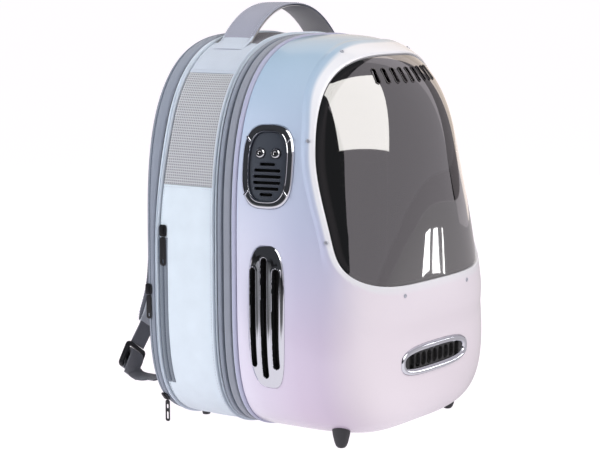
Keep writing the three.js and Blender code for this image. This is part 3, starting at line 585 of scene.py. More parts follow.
def grow(name, tree, mesh, values):
    """Runs a node group on a mesh and keeps its result as a plain mesh."""
    made = bpy.data.objects.new(name, mesh)
    bpy.context.scene.collection.objects.link(made)
    grower = made.modifiers.new("grow", "NODES")
    grower.node_group = tree
    for item in tree.interface.items_tree:
        if item.in_out == "INPUT" and item.name in values:
            grower[item.identifier] = values[item.name]
    return bake(made)


copies_group, copies_in = group("fastened_copies", {"Copied": "Object", "Finish": "Material"})
copies_out, copies_up = (
    step(copies_group, "GeometryNodeInputNamedAttribute", {"Name": way}, data_type="FLOAT_VECTOR")
    for way in ("out", "up"))
upright = step(copies_group, "FunctionNodeAlignRotationToVector", {
    "Vector": copies_out.outputs["Attribute"]}, axis="Z")
turned_to = step(copies_group, "FunctionNodeAlignRotationToVector", {
    "Rotation": upright.outputs["Rotation"],
    "Vector": copies_up.outputs["Attribute"]}, axis="Y", pivot_axis="Z")
copied = step(copies_group, "GeometryNodeObjectInfo", {"Object": copies_in["Copied"], "As Instance": True})
copies_set = step(copies_group, "GeometryNodeInstanceOnPoints", {
    "Points": copies_in["Geometry"], "Instance": copied.outputs["Geometry"],
    "Rotation": turned_to.outputs["Rotation"]})
close_group(copies_group, copies_set.outputs["Instances"], copies_in["Finish"])


def fasten(name, model, seats, material):
    """Copies of a model, made at the origin facing +Z with +Y up, on seats."""
    spots = bpy.data.meshes.new(name)
    spots.from_pydata([tuple(seat["middle"]) for seat in seats], [], [])
    for way in ("out", "up"):
        values = np.array([seat[way] for seat in seats], float)
        spots.attributes.new(way, "FLOAT_VECTOR", "POINT").data.foreach_set("vector", values.ravel())
    made = grow(name, copies_group, spots, {"Copied": model, "Finish": material})
    bpy.data.objects.remove(model)
    return made


RIM_WIDTH = 0.0012
RIM_HEIGHT = 0.0009


def slot_ring(half_width, half_length, height, count=24):
    """A slot's outline at a height over the plane."""
    across, up = capsule(half_width, half_length, count)
    return np.stack([across, up, np.full(count, height)], axis=-1)


def slot_rim():
    """One moulded rim: a half-round bead round a slot."""
    rings = []
    for turn in turns(8, 0):
        widen = RIM_WIDTH / 2 * (1.05 + np.cos(turn))
        height = RIM_HEIGHT * 0.6 * (np.sin(turn) + 0.25)
        rings.append(slot_ring(SLOT["half_width"] + widen, SLOT["half_length"] + widen, height))
    return skin("rim_model", np.array(rings), joined=True)


rim_plastic = hard("rim_plastic", (0.05, 0.045, 0.05), 300, 0.1, 0.2)
slot_rims = fasten("window_slot_rims", slot_rim(), slot_seats, rim_plastic)
settle(slot_rims, [rim_plastic], "smoked_window")


# Window screws: eight small domed heads with a driver socket, on the bezel round the window. They hold
# the bubble in the shell and are plated a little greyer than the paint.
SCREW_PLACES = ((0.064, 0.4085), (0.1324, 0.3218), (0.138, 0.2198), (0.063, 0.1594))
SCREW_PROFILE = ((0.0022, -0.0008), (0.0023, 0.0004), (0.0020, 0.0009), (0.0013, 0.0011), (0.0011, 0.0009),
                 (0.0010, 0.0003), (0.0002, 0.0003))


def turned(name, profile, seat, count=40, dark=None):
    """A round piece about a seat's way out, from rows of radius and height. dark marks inner rows."""
    angle = turns(count, 0)
    rings = [on_plane(seat, r * np.cos(angle), r * np.sin(angle), np.full(count, h)) for r, h in profile]
    marks = None if dark is None else np.repeat(np.array(dark, float)[:, None], count, axis=1)
    return skin(name, np.array(rings), second=marks)


def bezel_seat(x, z):
    seat = seat_on_dome(dome_point(np.array(x), np.array(z), 0.0))
    return dict(seat, middle=seat["middle"] + bezel_rise(z) * seat["out"])


origin_seat = {"middle": np.zeros(3), **dict(zip(("across", "up", "out"), np.eye(3)))}
plated = hard("screw_plating", (0.55, 0.57, 0.64), 500, 0.25, 0.4, metallic=0.5)
screw_model = turned("screw_model", SCREW_PROFILE, origin_seat, 24)
screw_seats = [bezel_seat(side * x, z) for x, z in SCREW_PLACES for side in (-1, 1)]
screws = fasten("window_screws", screw_model, screw_seats, plated)
settle(screws, [plated], "chrome", *[f"window_screw_{number}" for number in range(1, 9)])


# Fan module: a dark-chrome oval ring with four retaining clips, clipped into the left flank round a
# black panel with six air slots. Two chrome push buttons above the slots work the fan and the lamp.
FAN_RIM = 0.008
FAN_RING = ((0, -3.2), (0, 0.2), (0.5, 1.3), (1.6, 2.2), (3.2, 2.6), (5.2, 2.4), (5.9, 2.2), (6.4, 2.6),
            (7.2, 2.4), (7.8, 1.4), (8, -0.4), (8, -3.2))
MILLIMETRE = 0.001
SEAT_REACH = (-0.04, 0.02)
HALVINGS = 40
PLATE_END = 0.9995
PANEL_FACE = -0.001
PANEL_BACK = -0.0062
PANEL_DEEP = -0.0052
PANEL_BLUR = 0.0004
FAN_SLOTS = ((2.2, 8.3), (-4.1, 14.5), (-10.4, 15), (-16.7, 15), (-22.8, 13.5), (-28.9, 7))
FAN_SLOT_HALF = 0.0014
FAN_SLOT_RIM = {"height": 0.0005, "at": 0.0006, "half": 0.0006}
BUTTON_SPREAD = 0.0085
BUTTON_UP = 0.0135
BUTTON_HOLE = 0.0053


def on_seat(seat, across, up, height):
    """The dome's surface under places of a seat's plane, moved out by a height."""
    across, up, height = (np.array(value, float) for value in np.broadcast_arrays(across, up, height))
    base = on_plane(seat, across, up, np.zeros_like(across))
    low, high = (np.full(across.shape, end) for end in SEAT_REACH)
    for _ in range(HALVINGS):
        middle = (low + high) / 2
        inside = dome_level(base + middle[..., None] * seat["out"]) < 1
        low, high = np.where(inside, middle, low), np.where(inside, high, middle)
    return base + (low + height)[..., None] * seat["out"]


def oval_ring(name, seat, shape, levels, count=132):
    """An oval ring on the dome, from rows of inset and height in millimetres."""
    rings = []
    for inset, height in levels:
        across, up = oval_at(shape, inset * MILLIMETRE, turns(count))
        rings.append(on_seat(seat, across, up, height * MILLIMETRE))
    return skin(name, np.array(rings), joined=True)


def inner_oval(shape, rim):
    """The oval inside a ring, with a little play."""
    return dict(shape, across=shape["across"] - rim - FIT_GAP, up=shape["up"] - rim - FIT_GAP)


def relief(name, seat, shape, back, face, rows, columns):
    """An oval plate on the dome. Its face gives a height for each place, and its sunk places take the
    second material, black painted shade on the floors of slots that stand for openings."""
    up = shape["up"] * rows
    wide = shape["across"] * np.maximum(1e-9, 1 - np.abs(rows) ** shape["power"]) ** (1 / shape["power"])
    across = np.multiply.outer(wide, np.linspace(-1, 1, columns))
    up = np.repeat(up[:, None], columns, axis=1)
    height, sunk = face(across, up)
    top = on_seat(seat, across, up, height)
    floor = on_seat(seat, across[:, [-1, 0]], up[:, :2], np.full((len(rows), 2), back))
    marks = np.concatenate([sunk, np.zeros((len(rows), 2))], axis=1)
    return skin(name, np.concatenate([top, floor], axis=1), second=marks)


def capsule_distance(across, up, half_width, half_length):
    """Distance from an upright slot's edge, below zero inside it."""
    return np.hypot(across, np.maximum(np.abs(up) - (half_length - half_width), 0)) - half_width


def slots_edge(place, along, slots, half_width):
    """Distance from the nearest slot's edge. Each slot has a middle and a half length in millimetres."""
    return np.min([capsule_distance(place - middle * MILLIMETRE, along, half_width, half * MILLIMETRE)
                   for middle, half in slots], axis=0)


def ridge(edge, rim):
    """A soft ridge beside a slot's edge."""
    return rim["height"] * np.exp(-(((edge - rim["at"]) / rim["half"]) ** 2))


def sink(edge, blur):
    """From 0 outside an edge to 1 inside it."""
    return ease((blur / 2 - edge) / blur)


def fan_face(across, up):
    """Heights of the panel's face, with rimmed slots and two holes for the buttons."""
    edge = slots_edge(up, across, FAN_SLOTS, FAN_SLOT_HALF)
    rim = ridge(edge, FAN_SLOT_RIM)
    for side in (-1, 1):
        reach = np.hypot(across - side * BUTTON_SPREAD, up - BUTTON_UP) - BUTTON_HOLE
        edge = np.minimum(edge, reach)
    depth = sink(edge, PANEL_BLUR)
    return mix(PANEL_FACE + rim, PANEL_DEEP, depth), depth


dark_chrome = hard("dark_chrome", (0.74, 0.76, 0.82), 60, 0.05, 0.1, metallic=1)
# Black painted shade for the floors of sunk slots and holes, which stand for openings that are dark inside.
black_painted_shade = hard("black_painted_shade", (0.004, 0.004, 0.004), 200, 0.6, 0.8)
dark_panel = hard("dark_panel", (0.045, 0.052, 0.068), 90, 0.26, 0.36)
fan_ring = oval_ring("fan_ring", fan_seat, FAN, FAN_RING)
settle(fan_ring, [dark_chrome], "chrome", "fan_bezel")
panel_rows = np.linspace(-PLATE_END, PLATE_END, 190)
# The panel's slots and button holes are sunk, and their floors take black painted shade.
fan_plate = relief("fan_plate", fan_seat, inner_oval(FAN, FAN_RIM), PANEL_BACK, fan_face, panel_rows, 104)
settle(fan_plate, [dark_panel, black_painted_shade], "dark_panel", "fan_panel")

CLIP_TURNS = (0.6, np.pi - 0.6, np.pi + 0.6, -0.6)
CLIP = {"half_width": 0.0011, "half_length": 0.0034, "inset": 0.0033, "foot": 0.0025}
CLIP_PROFILE = ((0, -0.0006), (0, 0.0005), (0.0004, 0.0009), (0.0009, 0.0009))


def clip_seat(turn):
    """A place on the middle of the ring, with its way up pointing across the ring."""
    across, up = oval_at(FAN, CLIP["inset"], turn)
    inwards = -(across * fan_seat["across"] + up * fan_seat["up"])
    return {"middle": on_seat(fan_seat, across, up, CLIP["foot"]), "out": fan_seat["out"], "up": inwards}


def clip_model():
    rings = [slot_ring(CLIP["half_width"] - inset, CLIP["half_length"] - inset, height, 20)
             for inset, height in CLIP_PROFILE]
    return skin("clip_model", np.array(rings))


clips = fasten("fan_clips", clip_model(), [clip_seat(turn) for turn in CLIP_TURNS], dark_chrome)
settle(clips, [dark_chrome], "chrome")

BUTTON_PROFILE = ((0.0050, -0.0022), (0.0050, 0.0003), (0.0048, 0.0009), (0.0042, 0.0016), (0.0034, 0.0021),
                  (0.0025, 0.0022), (0.0017, 0.0019), (0.0014, 0.0015), (0.0002, 0.0014))
bright_chrome = hard("bright_chrome", (0.75, 0.76, 0.8), 200, 0.07, 0.14, metallic=1)
for button, side in (("lamp_button", -1), ("fan_button", 1)):
    button_seat = dict(fan_seat, middle=on_seat(fan_seat, side * BUTTON_SPREAD, BUTTON_UP, 0.0))
    # The two inner rows of each dome take black painted shade: a painted dark reflection in the dome's
    # middle.
    stud = turned(button + "_stud", BUTTON_PROFILE, button_seat, 48, [0] * 7 + [1, 1])
    settle(stud, [bright_chrome, black_painted_shade], "chrome", button, body=button)


# Side grille: a crowned chrome plate low on the left flank, with three upright air slots sunk into it,
# each with a raised bright edge and a floor of black painted shade. It is clipped into the shell from
# outside.
GRILLE_SLOTS = ((-13.8, 52), (0, 63), (13.8, 52))
GRILLE_SLOT_HALF = 0.0036
GRILLE_SLOT_RIM = {"height": 0.0007, "at": 0.0010, "half": 0.0008}
GRILLE_CROWN = ((0, 0.2), (0.8, 1.2), (2, 2.1), (4, 3), (9, 3.6), (14, 3.9))
GRILLE_DEEP = -0.0035
GRILLE_BACK = -0.0045
SLOT_BLUR = 0.0006


def grille_face(across, up):
    """Heights of the crowned face, with a ridge round each slot."""
    inset, height = np.array(GRILLE_CROWN).T * MILLIMETRE
    shares = np.abs(across) / GRILLE["across"], np.abs(up) / GRILLE["up"]
    crown = np.interp(edge_inset(*shares, GRILLE["across"], GRILLE["up"], GRILLE["power"]), inset, height)
    edge = slots_edge(across, up, GRILLE_SLOTS, GRILLE_SLOT_HALF)
    depth = sink(edge, SLOT_BLUR)
    return mix(crown + ridge(edge, GRILLE_SLOT_RIM), GRILLE_DEEP, depth), depth


grille_rows = np.sin(np.linspace(-1, 1, 230) * np.pi / 2) * PLATE_END
grille_plate = relief("grille_plate", grille_seat, GRILLE, GRILLE_BACK, grille_face, grille_rows, 250)
settle(grille_plate, [dark_chrome, black_painted_shade], "chrome", "side_grille")


# Front vent: an oval chrome ring low on the front with a black slatted insert behind it. Both are
# moulded to the dome's curve and pushed in from outside.
VENT_RIM = 0.0075
VENT_RING = ((0, -3), (0, 0.2), (0.4, 1.2), (1.2, 1.9), (2.2, 2.2), (3.8, 2.1), (5.4, 1.6), (6.7, 0.8),
             (7.5, -0.2), (7.5, -3))
VENT_FACE = -0.0008
VENT_DEEP = -0.0045
VENT_BACK = -0.0055
VENT_SLOTS = 9
VENT_PITCH = 0.0114
VENT_SLOT = {"half_width": 0.0046, "half_length": 0.0072}


def vent_face(across, up):
    """Heights of the insert's face: a row of upright slots between slats."""
    place = across / VENT_PITCH + VENT_SLOTS / 2
    offset = (place - np.floor(place) - 0.5) * VENT_PITCH
    edge = capsule_distance(offset, up, VENT_SLOT["half_width"], VENT_SLOT["half_length"])
    edge = np.where(np.abs(across) < VENT_SLOTS / 2 * VENT_PITCH, edge, 1)
    depth = sink(edge, SLOT_BLUR)
    return mix(np.full(across.shape, VENT_FACE), VENT_DEEP, depth), depth


vent_ring = oval_ring("vent_ring", vent_seat, VENT, VENT_RING, 180)
settle(vent_ring, [dark_chrome], "chrome", "vent_trim")
black_plastic = hard("black_plastic", (0.012, 0.012, 0.014), 150, 0.32, 0.5)
vent_rows = np.linspace(-PLATE_END, PLATE_END, 44)
# The vent's slots are sunk, and their floors take black painted shade.
vent_plate = relief("vent_plate", vent_seat, inner_oval(VENT, VENT_RIM), VENT_BACK, vent_face, vent_rows, 240)
settle(vent_plate, [black_plastic, black_painted_shade], "black_plastic", "vent_grille")


# Feet: two tapered rubber bullets that meet the underside of the dome, and two small rubber studs
# under the rear binding. They are moulded charcoal rubber and carry the whole carrier.
FRONT_FOOT_PLACE = (0.108, JOINT - 0.102)
FRONT_FOOT = ((0.0026, 0.0000), (0.0043, 0.0006), (0.0058, 0.0024), (0.0072, 0.0060), (0.0091, 0.0140),
              (0.0108, 0.0280), (0.0124, 0.0480))
REAR_FOOT_PLACE = (0.07, JOINT + 0.1075)
REAR_FOOT = ((0.0038, 0.0000), (0.0043, 0.0004), (0.0048, 0.0030), (0.0050, 0.0068))
FOOT_LOWEST_TOP = 0.002
foot_rubber = hard("foot_rubber", (0.035, 0.035, 0.04), 260, 0.5, 0.72)
feed(foot_rubber, "Normal", bump(foot_rubber, mottle(foot_rubber, 1400, 0, 1), 0.0001, 0.5))


def front_foot(name, side, count=48, rows=26):
    """A tapered foot, each of whose edges runs up to the dome above it."""
    radii, heights = np.array(FRONT_FOOT).T
    angle = turns(count, 0)

    def spots(z):
        radius = np.interp(z, heights, radii)
        x = side * FRONT_FOOT_PLACE[0] + radius * np.cos(angle)
        return np.stack([x, FRONT_FOOT_PLACE[1] + radius * np.sin(angle), z], axis=-1)

    low, high = np.full(count, FOOT_LOWEST_TOP), np.full(count, heights[-1])
    for _ in range(HALVINGS):
        middle = (low + high) / 2
        outside = dome_level(spots(middle)) > 1
        low, high = np.where(outside, middle, low), np.where(outside, high, middle)
    shares = np.linspace(0, 1, rows) ** 2
    return skin(name, np.array([spots(share * (low - FIT_GAP)) for share in shares]))


for side, label in ((-1, "left"), (1, "right")):
    settle(front_foot("bullet_foot_" + label, side), [foot_rubber], "foot_rubber", "front_foot_" + label)
    pad_seat = dict(origin_seat, middle=np.array((side * REAR_FOOT_PLACE[0], REAR_FOOT_PLACE[1], 0)))
    pad_foot = turned("pad_foot_" + label, REAR_FOOT, pad_seat)
    settle(pad_foot, [foot_rubber], "foot_rubber", "rear_foot_" + label)


# Front seam: the plastic lip on the shell's rim, two grey zip tapes that join the shell to the body, and
# the first of two white pipings. Each is a strip that runs right round the body. A coil zip lies between
# the tapes, and thin pale cords are sewn along the lip, the rear tape and the rear edge.
LINING_WALL = 2
GROOVE = -1.2
GUSSET_FRONT = 25.7
GUSSET_REAR = 98.4
BAND_FRONT = 102
BAND_CORNER = 110
REAR_LEAN = {"forward": 10.8, "from": 0.19, "to": 0.34}


def rounded(front, rear, proud, count=11):
    """A strip's section in millimetres: a round back from front to rear, then its inside corners."""
    turn = np.linspace(0, np.pi, count)
    back = [(proud * math.sin(t), mix(front, rear, (1 - math.cos(t)) / 2)) for t in turn]
    return back + [(-LINING_WALL, rear), (-LINING_WALL, front)]


def leaned(y, z):
    """Depths in millimetres on the body. The rear seam leans forward toward the top."""
    before = (y - GUSSET_FRONT) / (GUSSET_REAR - GUSSET_FRONT)
    behind = (BAND_CORNER - y) / (BAND_CORNER - BAND_FRONT)
    rise = ease((z - REAR_LEAN["from"]) / (REAR_LEAN["to"] - REAR_LEAN["from"]))
    return y - REAR_LEAN["forward"] * rise * np.clip(np.minimum(before, behind), 0, 1)


def strip_spots(shares, out, y):
    """Places at shares of the body's outline, moved out of it in metres, at depths y in millimetres."""
    x, z, out_x, out_z = outline_at(BODY, shares)
    depth = JOINT + leaned(np.broadcast_to(y, x.shape), z) * MILLIMETRE
    return np.stack([x + out * out_x, depth, z + out * out_z], axis=-1)


def strip(name, section, shares=None, ripple=0.0):
    """A section of (out, y) in millimetres run round the body's outline, or over a part of it. Its inner
    side and its deep grooves take the second material."""
    at = np.arange(LOOP_STEPS) / LOOP_STEPS if shares is None else np.asarray(shares)
    out, y = np.array(section).T
    inside = np.broadcast_to(out < GROOVE, (len(at), len(y)))
    out = out * MILLIMETRE + np.broadcast_to(ripple, (len(at), len(y)))
    rings = np.stack([strip_spots(at, out[:, k], y[k]) for k in range(len(y))], axis=1)
    whole = outline_run(BODY)[2][-1]
    along = (np.append(at, 1) - at[0]) * whole
    around = run_along(np.array(section + section[:1])) * MILLIMETRE
    return skin(name, rings, shares is None, along, around, inside)


def weave(material, pitch, second="Y", coordinates="UV", turn=0.0):
    """Over-and-under threads between -1 and 1, on X and a second axis that are turned about Z."""
    place = node(material, "TexCoord").outputs[coordinates]
    laid = node(material, "Mapping", {0: place, "Rotation": (0, 0, turn)})
    axes = node(material, "SeparateXYZ", {0: laid.outputs[0]}).outputs
    waves = [reckon(material, "SINE", reckon(material, "MULTIPLY", axes[axis], 2 * math.pi / pitch))
             for axis in ("X", second)]
    return reckon(material, "MULTIPLY", *waves)


def shade(material, colour, factor):
    """A colour whose brightness follows a factor."""
    return node(material, "HueSaturation", {"Color": (*colour, 1), "Value": factor}).outputs["Color"]


def cloth(name, colour, pitch, depth=0.0002, roughness=0.8, sheen=0.25, coordinates="UV", second="Y"):
    """Woven cloth: threads in relief, a soft sheen and a slight mottle of its colour."""
    made = finish(name, {"Roughness": roughness, "Sheen Weight": sheen, "Specular IOR Level": 0.3})
    threads = weave(made, pitch, second=second, coordinates=coordinates)
    feed(made, "Normal", bump(made, threads, depth, 0.6))
    feed(made, "Base Color", shade(made, colour, mottle(made, 45, 0.93, 1.06)))
    return made


pale_trim = cloth("pale_trim", (0.66, 0.74, 0.84), 0.0009, roughness=0.55)
light_tape = cloth("light_tape", (0.29, 0.31, 0.37), 0.0012, 0.0003)
dark_tape = cloth("dark_tape", (0.27, 0.30, 0.37), 0.0012, 0.0003)
lining = cloth("lining", (0.03, 0.03, 0.034), 0.0015)
# The lip's purple-grey is painted shade: the shell's edge in shadow along the rim.
lip_painted_shade = hard("lip_painted_shade", (0.42, 0.43, 0.58), 120, 0.34, 0.46)
settle(strip("shell_lip", rounded(-5.7, -0.15, 1.4)), [lip_painted_shade, lining], "pale_trim", "rim_trim")
FRONT_TAPE = [(-1.5, 0.15), (-1.4, 2), (-0.2, 2.5), (0.3, 3.3), (0.4, 5), (0.4, 8.5), (0.3, 10.2), (-0.2, 11),
              (-1.4, 11.5), (-1.5, 12), (-LINING_WALL, 12), (-LINING_WALL, 0.15)]
REAR_TAPE = [(-1.5, 13), (-1.4, 13.5), (-0.2, 14), (0.3, 14.8), (0.4, 16), (0.4, 17.6), (0.3, 18.4),
             (-0.2, 18.9), (-1.4, 19.3), (-1.5, 23.1), (-LINING_WALL, 23.1), (-LINING_WALL, 13)]
EDGE_CORD = [(-1.3, 0), (0.1, 0), (0.6, 0.3), (0.7, 0.65), (0.6, 1), (0.1, 1.3), (-1.3, 1.3)]
CORD_PLACES = {"lip": -1.2, "front": 20.4, "rear": 102.2}
PIPING_PROUD = 2.3
settle(strip("front_tape", FRONT_TAPE), [light_tape, lining], "grey_tape", "zip_tape_front")
settle(strip("rear_tape", REAR_TAPE), [dark_tape, lining], "grey_tape", "zip_tape_rear")
front_piping = strip("white_piping_front", rounded(23.4, 25.4, PIPING_PROUD))
settle(front_piping, [pale_trim, lining], "pale_trim", "front_piping")
for label, place in CORD_PLACES.items():
    cord = strip("edge_cord_" + label, [(out, place + y) for out, y in EDGE_CORD])
    settle(cord, [pale_trim, lining], "pale_trim")

bead_group, bead_in = group("bead_row", {"Spacing": "Float", "Size": "Vector", "Finish": "Material"})
bead_curve = step(bead_group, "GeometryNodeMeshToCurve", {"Mesh": bead_in["Geometry"]})
bead_spots = step(bead_group, "GeometryNodeCurveToPoints", {
    "Curve": bead_curve.outputs[0], "Length": bead_in["Spacing"]}, mode="LENGTH")
bead = step(bead_group, "GeometryNodeMeshUVSphere", {"Segments": 6, "Rings": 4, "Radius": 1.0})
bead_smooth = step(bead_group, "GeometryNodeSetShadeSmooth", {"Geometry": bead.outputs["Mesh"]})
bead_turn = step(bead_group, "FunctionNodeAlignRotationToVector", {
    "Vector": bead_spots.outputs["Tangent"]}, axis="Z")
bead_set = step(bead_group, "GeometryNodeInstanceOnPoints", {
    "Points": bead_spots.outputs["Points"], "Instance": bead_smooth.outputs[0],
    "Rotation": bead_turn.outputs["Rotation"], "Scale": bead_in["Size"]})
close_group(bead_group, bead_set.outputs["Instances"], bead_in["Finish"])


def beads(name, paths, spacing, size, material):
    """Rows of zip coils or stitches along paths of points."""
    mesh = bpy.data.meshes.new(name)
    starts = np.cumsum([0] + [len(path) for path in paths])
    edges = [(k, k + 1) for start, path in zip(starts, paths) for k in range(start, start + len(path) - 1)]
    mesh.from_pydata(np.concatenate(paths).tolist(), edges, [])
    return grow(name, bead_group, mesh, {"Spacing": spacing, "Size": size, "Finish": material})


COIL_SIZE = (0.0009, 0.0009, 0.0006)
COIL_SPACING = 0.0017
FRONT_COIL = (-0.0009, 12.5)
coil_nylon = hard("coil_nylon", (0.13, 0.16, 0.21), 400, 0.35, 0.5)


def coil(name, shares, out, y):
    """A closed zip's coil along a part of the body's outline."""
    made = beads(name, [strip_spots(shares, out, y)], COIL_SPACING, COIL_SIZE, coil_nylon)
    settle(made, [coil_nylon], "grey_tape")


all_round = np.linspace(0, 1, LOOP_STEPS + 1)
coil("front_zip_coil", all_round, *FRONT_COIL)


# Rear edge: the second white piping and the grey binding that wraps round to the wearer's back, with
# the closed coil of the rear door's zip let into it.
REAR_BINDING = [(-1.5, 101.3), (-1.4, 104.4), (-0.1, 104.9), (0.4, 105.7), (0.6, 107.3), (0.5, 109),
                (0.1, 109.8), (-0.7, 110.2), (-0.7, 110.9), (-0.2, 111.4), (-0.5, 112.6), (-1.6, 114.6),
                (-3.4, 116.4), (-5.6, 117.5), (-8.1, 118), (-8.1, 115.5), (-3, 111.5)]
REAR_COIL = (-0.0006, 110.55)
rear_piping = strip("white_piping_rear", rounded(98.7, 101, PIPING_PROUD))
settle(rear_piping, [pale_trim, lining], "pale_trim", "back_piping")
settle(strip("rear_binding", REAR_BINDING), [dark_tape, lining], "grey_tape", "back_band")
coil("rear_zip_coil", all_round, *REAR_COIL)


# Gusset: coated cloth stretched round the sides and floor between the two pipings, with slight dents
# where it is pulled. Air mesh panels are sewn in above it, then the handle's patches and the top panel.
MESH_BOTTOM = 0.27
MESH_TOP = 0.387
PATCH_TOP = 0.417
SEAM_GAP = 0.0003
WALL_SEAM = ((-0.3, 1.1), (-1.4, 0.9), (-1.5, 0))
WALL_SEAM_START = 1.6
DENT_SIZE = 0.0003
DENT_END = {"at": 0.8, "over": 0.12}
DENT_WAVES = ((1, 61, 4.1, 0), (0.7, 37, -6.3, 1.3), (0.5, 113, 2.2, 2))


def share_at(height):
    """The share of the body's outline at which its +X side passes a height."""
    _, z, run = outline_run(BODY)
    half = len(z) // 2
    return float(np.interp(height, z[:half], run[:half] / run[-1]))


def wall_section(bow, count=26):
    """A cloth wall between the pipings in millimetres, bowed out in its middle half."""
    y = np.linspace(GUSSET_FRONT, GUSSET_REAR, count)
    y[-2] = GUSSET_REAR - WALL_SEAM_START
    from_edge = np.minimum(y - GUSSET_FRONT, GUSSET_REAR - y) / (GUSSET_REAR - GUSSET_FRONT)
    out = bow * ease(from_edge / 0.25)
    seam = [(out_of, GUSSET_REAR - before) for out_of, before in WALL_SEAM]
    return list(zip(out[:-1], y[:-1])) + seam + [(-LINING_WALL, GUSSET_REAR), (-LINING_WALL, GUSSET_FRONT)]


def dents(shares, section):
    """Shallow dents over a cloth wall, dying out at its sewn edges and under the pocket zip."""
    y = (np.array(section)[:, 1] - GUSSET_FRONT) / (GUSSET_REAR - GUSSET_FRONT)
    edge = np.sin(np.pi * np.clip(y, 0, 1)) ** 0.6 * ease((DENT_END["at"] - y) / DENT_END["over"])
    edge[-2:] = 0
    run = np.asarray(shares)[:, None]
    waves = sum(size * np.sin(along * run + over * y + start) for size, along, over, start in DENT_WAVES)
    return DENT_SIZE * edge * waves


gusset_share = share_at(MESH_BOTTOM - SEAM_GAP)
gusset_shares = np.linspace(-gusset_share, gusset_share, 300)
gusset_section = wall_section(0.8)
coated_cloth = cloth("coated_cloth", (0.68, 0.76, 0.84), 0.0008, 0.0001, roughness=0.5, sheen=0.1)
gusset_wall = strip("gusset_wall", gusset_section, gusset_shares, dents(gusset_shares, gusset_section))
settle(gusset_wall, [coated_cloth, lining], "coated_cloth", "gusset")

NET_PITCH = 0.0040
air_mesh = finish("air_mesh", {"Roughness": 0.75, "Sheen Weight": 0.2})
netting = weave(air_mesh, NET_PITCH, turn=math.radians(45))
net_holes = remap(air_mesh, netting, 0.1, 0.5)
net_colour = ramp(air_mesh, net_holes, [(0, (0.50, 0.51, 0.54)), (1, (0.20, 0.20, 0.22))])
feed(air_mesh, "Base Color", net_colour)
feed(air_mesh, "Normal", bump(air_mesh, netting, 0.0004, 0.6))
top_cloth = cloth("top_cloth", (0.135, 0.13, 0.16), 0.0012)
patch_cloth = cloth("patch_cloth", (0.56, 0.62, 0.72), 0.001)
TOP_PANELS = (("net", air_mesh, "air_mesh", -0.6, MESH_BOTTOM, MESH_TOP - SEAM_GAP, "mesh"),
              ("patch", patch_cloth, "handle_cloth", 0.4, MESH_TOP, PATCH_TOP, "handle_patch"))
for label, material, slot_name, bow, low, high, solid in TOP_PANELS:
    first, last = share_at(low), share_at(high)
    for side, side_name in ((-1, "left"), (1, "right")):
        made = strip(f"{label}_{side_name}", wall_section(bow), side * np.linspace(first, last, 44))
        settle(made, [material, lining], slot_name, f"{solid}_{side_name}")
top_share = share_at(PATCH_TOP + SEAM_GAP)
top_wall = strip("top_wall", wall_section(0.2), np.linspace(top_share, 1 - top_share, 60))
settle(top_wall, [top_cloth, lining], "top_cloth", "top_panel")


# Back panel: a foam pad covered in cloth, sewn inside the rear binding, against the wearer's back. It
# is blown up by a cloth simulation with its border held, and a sewn channel follows the border.
PAD_INSET = 0.0068
PAD_FRONT = JOINT + 0.1135
PAD_REAR = JOINT + 0.127
PAD_START = ((0, 0.1081), (0.003, 0.1111), (0.008, 0.1134), (0.02, 0.1146), (0.08, 0.1150))
PAD_SHAPE = dict(BODY, half=BODY["half"] - PAD_INSET, top=BODY["top"] - PAD_INSET,
                 bottom=BODY["bottom"] + PAD_INSET)
PAD_VOXEL = 0.0045
PAD_SWELL = 0.003
PAD_HELD_TO = PAD_FRONT + 0.004
PAD_FACE_FROM = PAD_FRONT + 0.006
PAD_LIMIT = PAD_REAR + 0.0002
SWELL_FRAMES = 20
CHANNEL = {"inset": 0.024, "half": 0.003, "depth": 0.0016}


def pad_rings():
    """Level sections of the flat pad: its face with soft edges, and then its inside."""
    x, z = front_grid(PAD_SHAPE, 120, 90)
    rear = np.interp(front_inset(PAD_SHAPE, x, z), *np.array(PAD_START).T)
    face = np.stack([x, rear, z], axis=-1)
    inside = np.stack([x, np.full_like(x, PAD_FRONT), z], axis=-1)
    return np.concatenate([face, inside[:, ::-1]], axis=1)


def swell(made, held, most, pressure=4):
    """Blows a pad up by cloth simulation. held marks the points that stay, and most caps the rest."""
    start = spots_of(made.data)
    pins = made.vertex_groups.new(name="held")
    pins.add(np.flatnonzero(held).tolist(), 1.0, "REPLACE")
    blown = made.modifiers.new("swell", "CLOTH")
    blown.settings.vertex_group_mass = "held"
    blown.settings.use_pressure = True
    blown.settings.uniform_pressure_force = pressure
    blown.settings.effector_weights.gravity = 0
    blown.collision_settings.use_collision = False
    for moment in range(1, SWELL_FRAMES + 1):
        bpy.context.scene.frame_set(moment)
    bake(made)
    moved = spots_of(made.data) - start
    size = np.linalg.norm(moved, axis=1, keepdims=True)
    moved = moved * np.minimum(1, most / np.maximum(size, 1e-9))
    made.data.vertices.foreach_set("co", (start + moved).ravel())
    bpy.context.scene.frame_set(1)
    return made


def sew_channel(made):
    """Presses the sewn channel into the pad's rear face and keeps the pad off the straps."""
    spots = spots_of(made.data)
    inset = front_inset(PAD_SHAPE, spots[:, 0], spots[:, 2])
    channel = CHANNEL["depth"] * np.exp(-(((inset - CHANNEL["inset"]) / CHANNEL["half"]) ** 2))
    rear = spots[:, 1] > PAD_FACE_FROM
    spots[:, 1] = np.where(rear, np.minimum(spots[:, 1], PAD_LIMIT) - channel, spots[:, 1])
    made.data.vertices.foreach_set("co", spots.ravel())


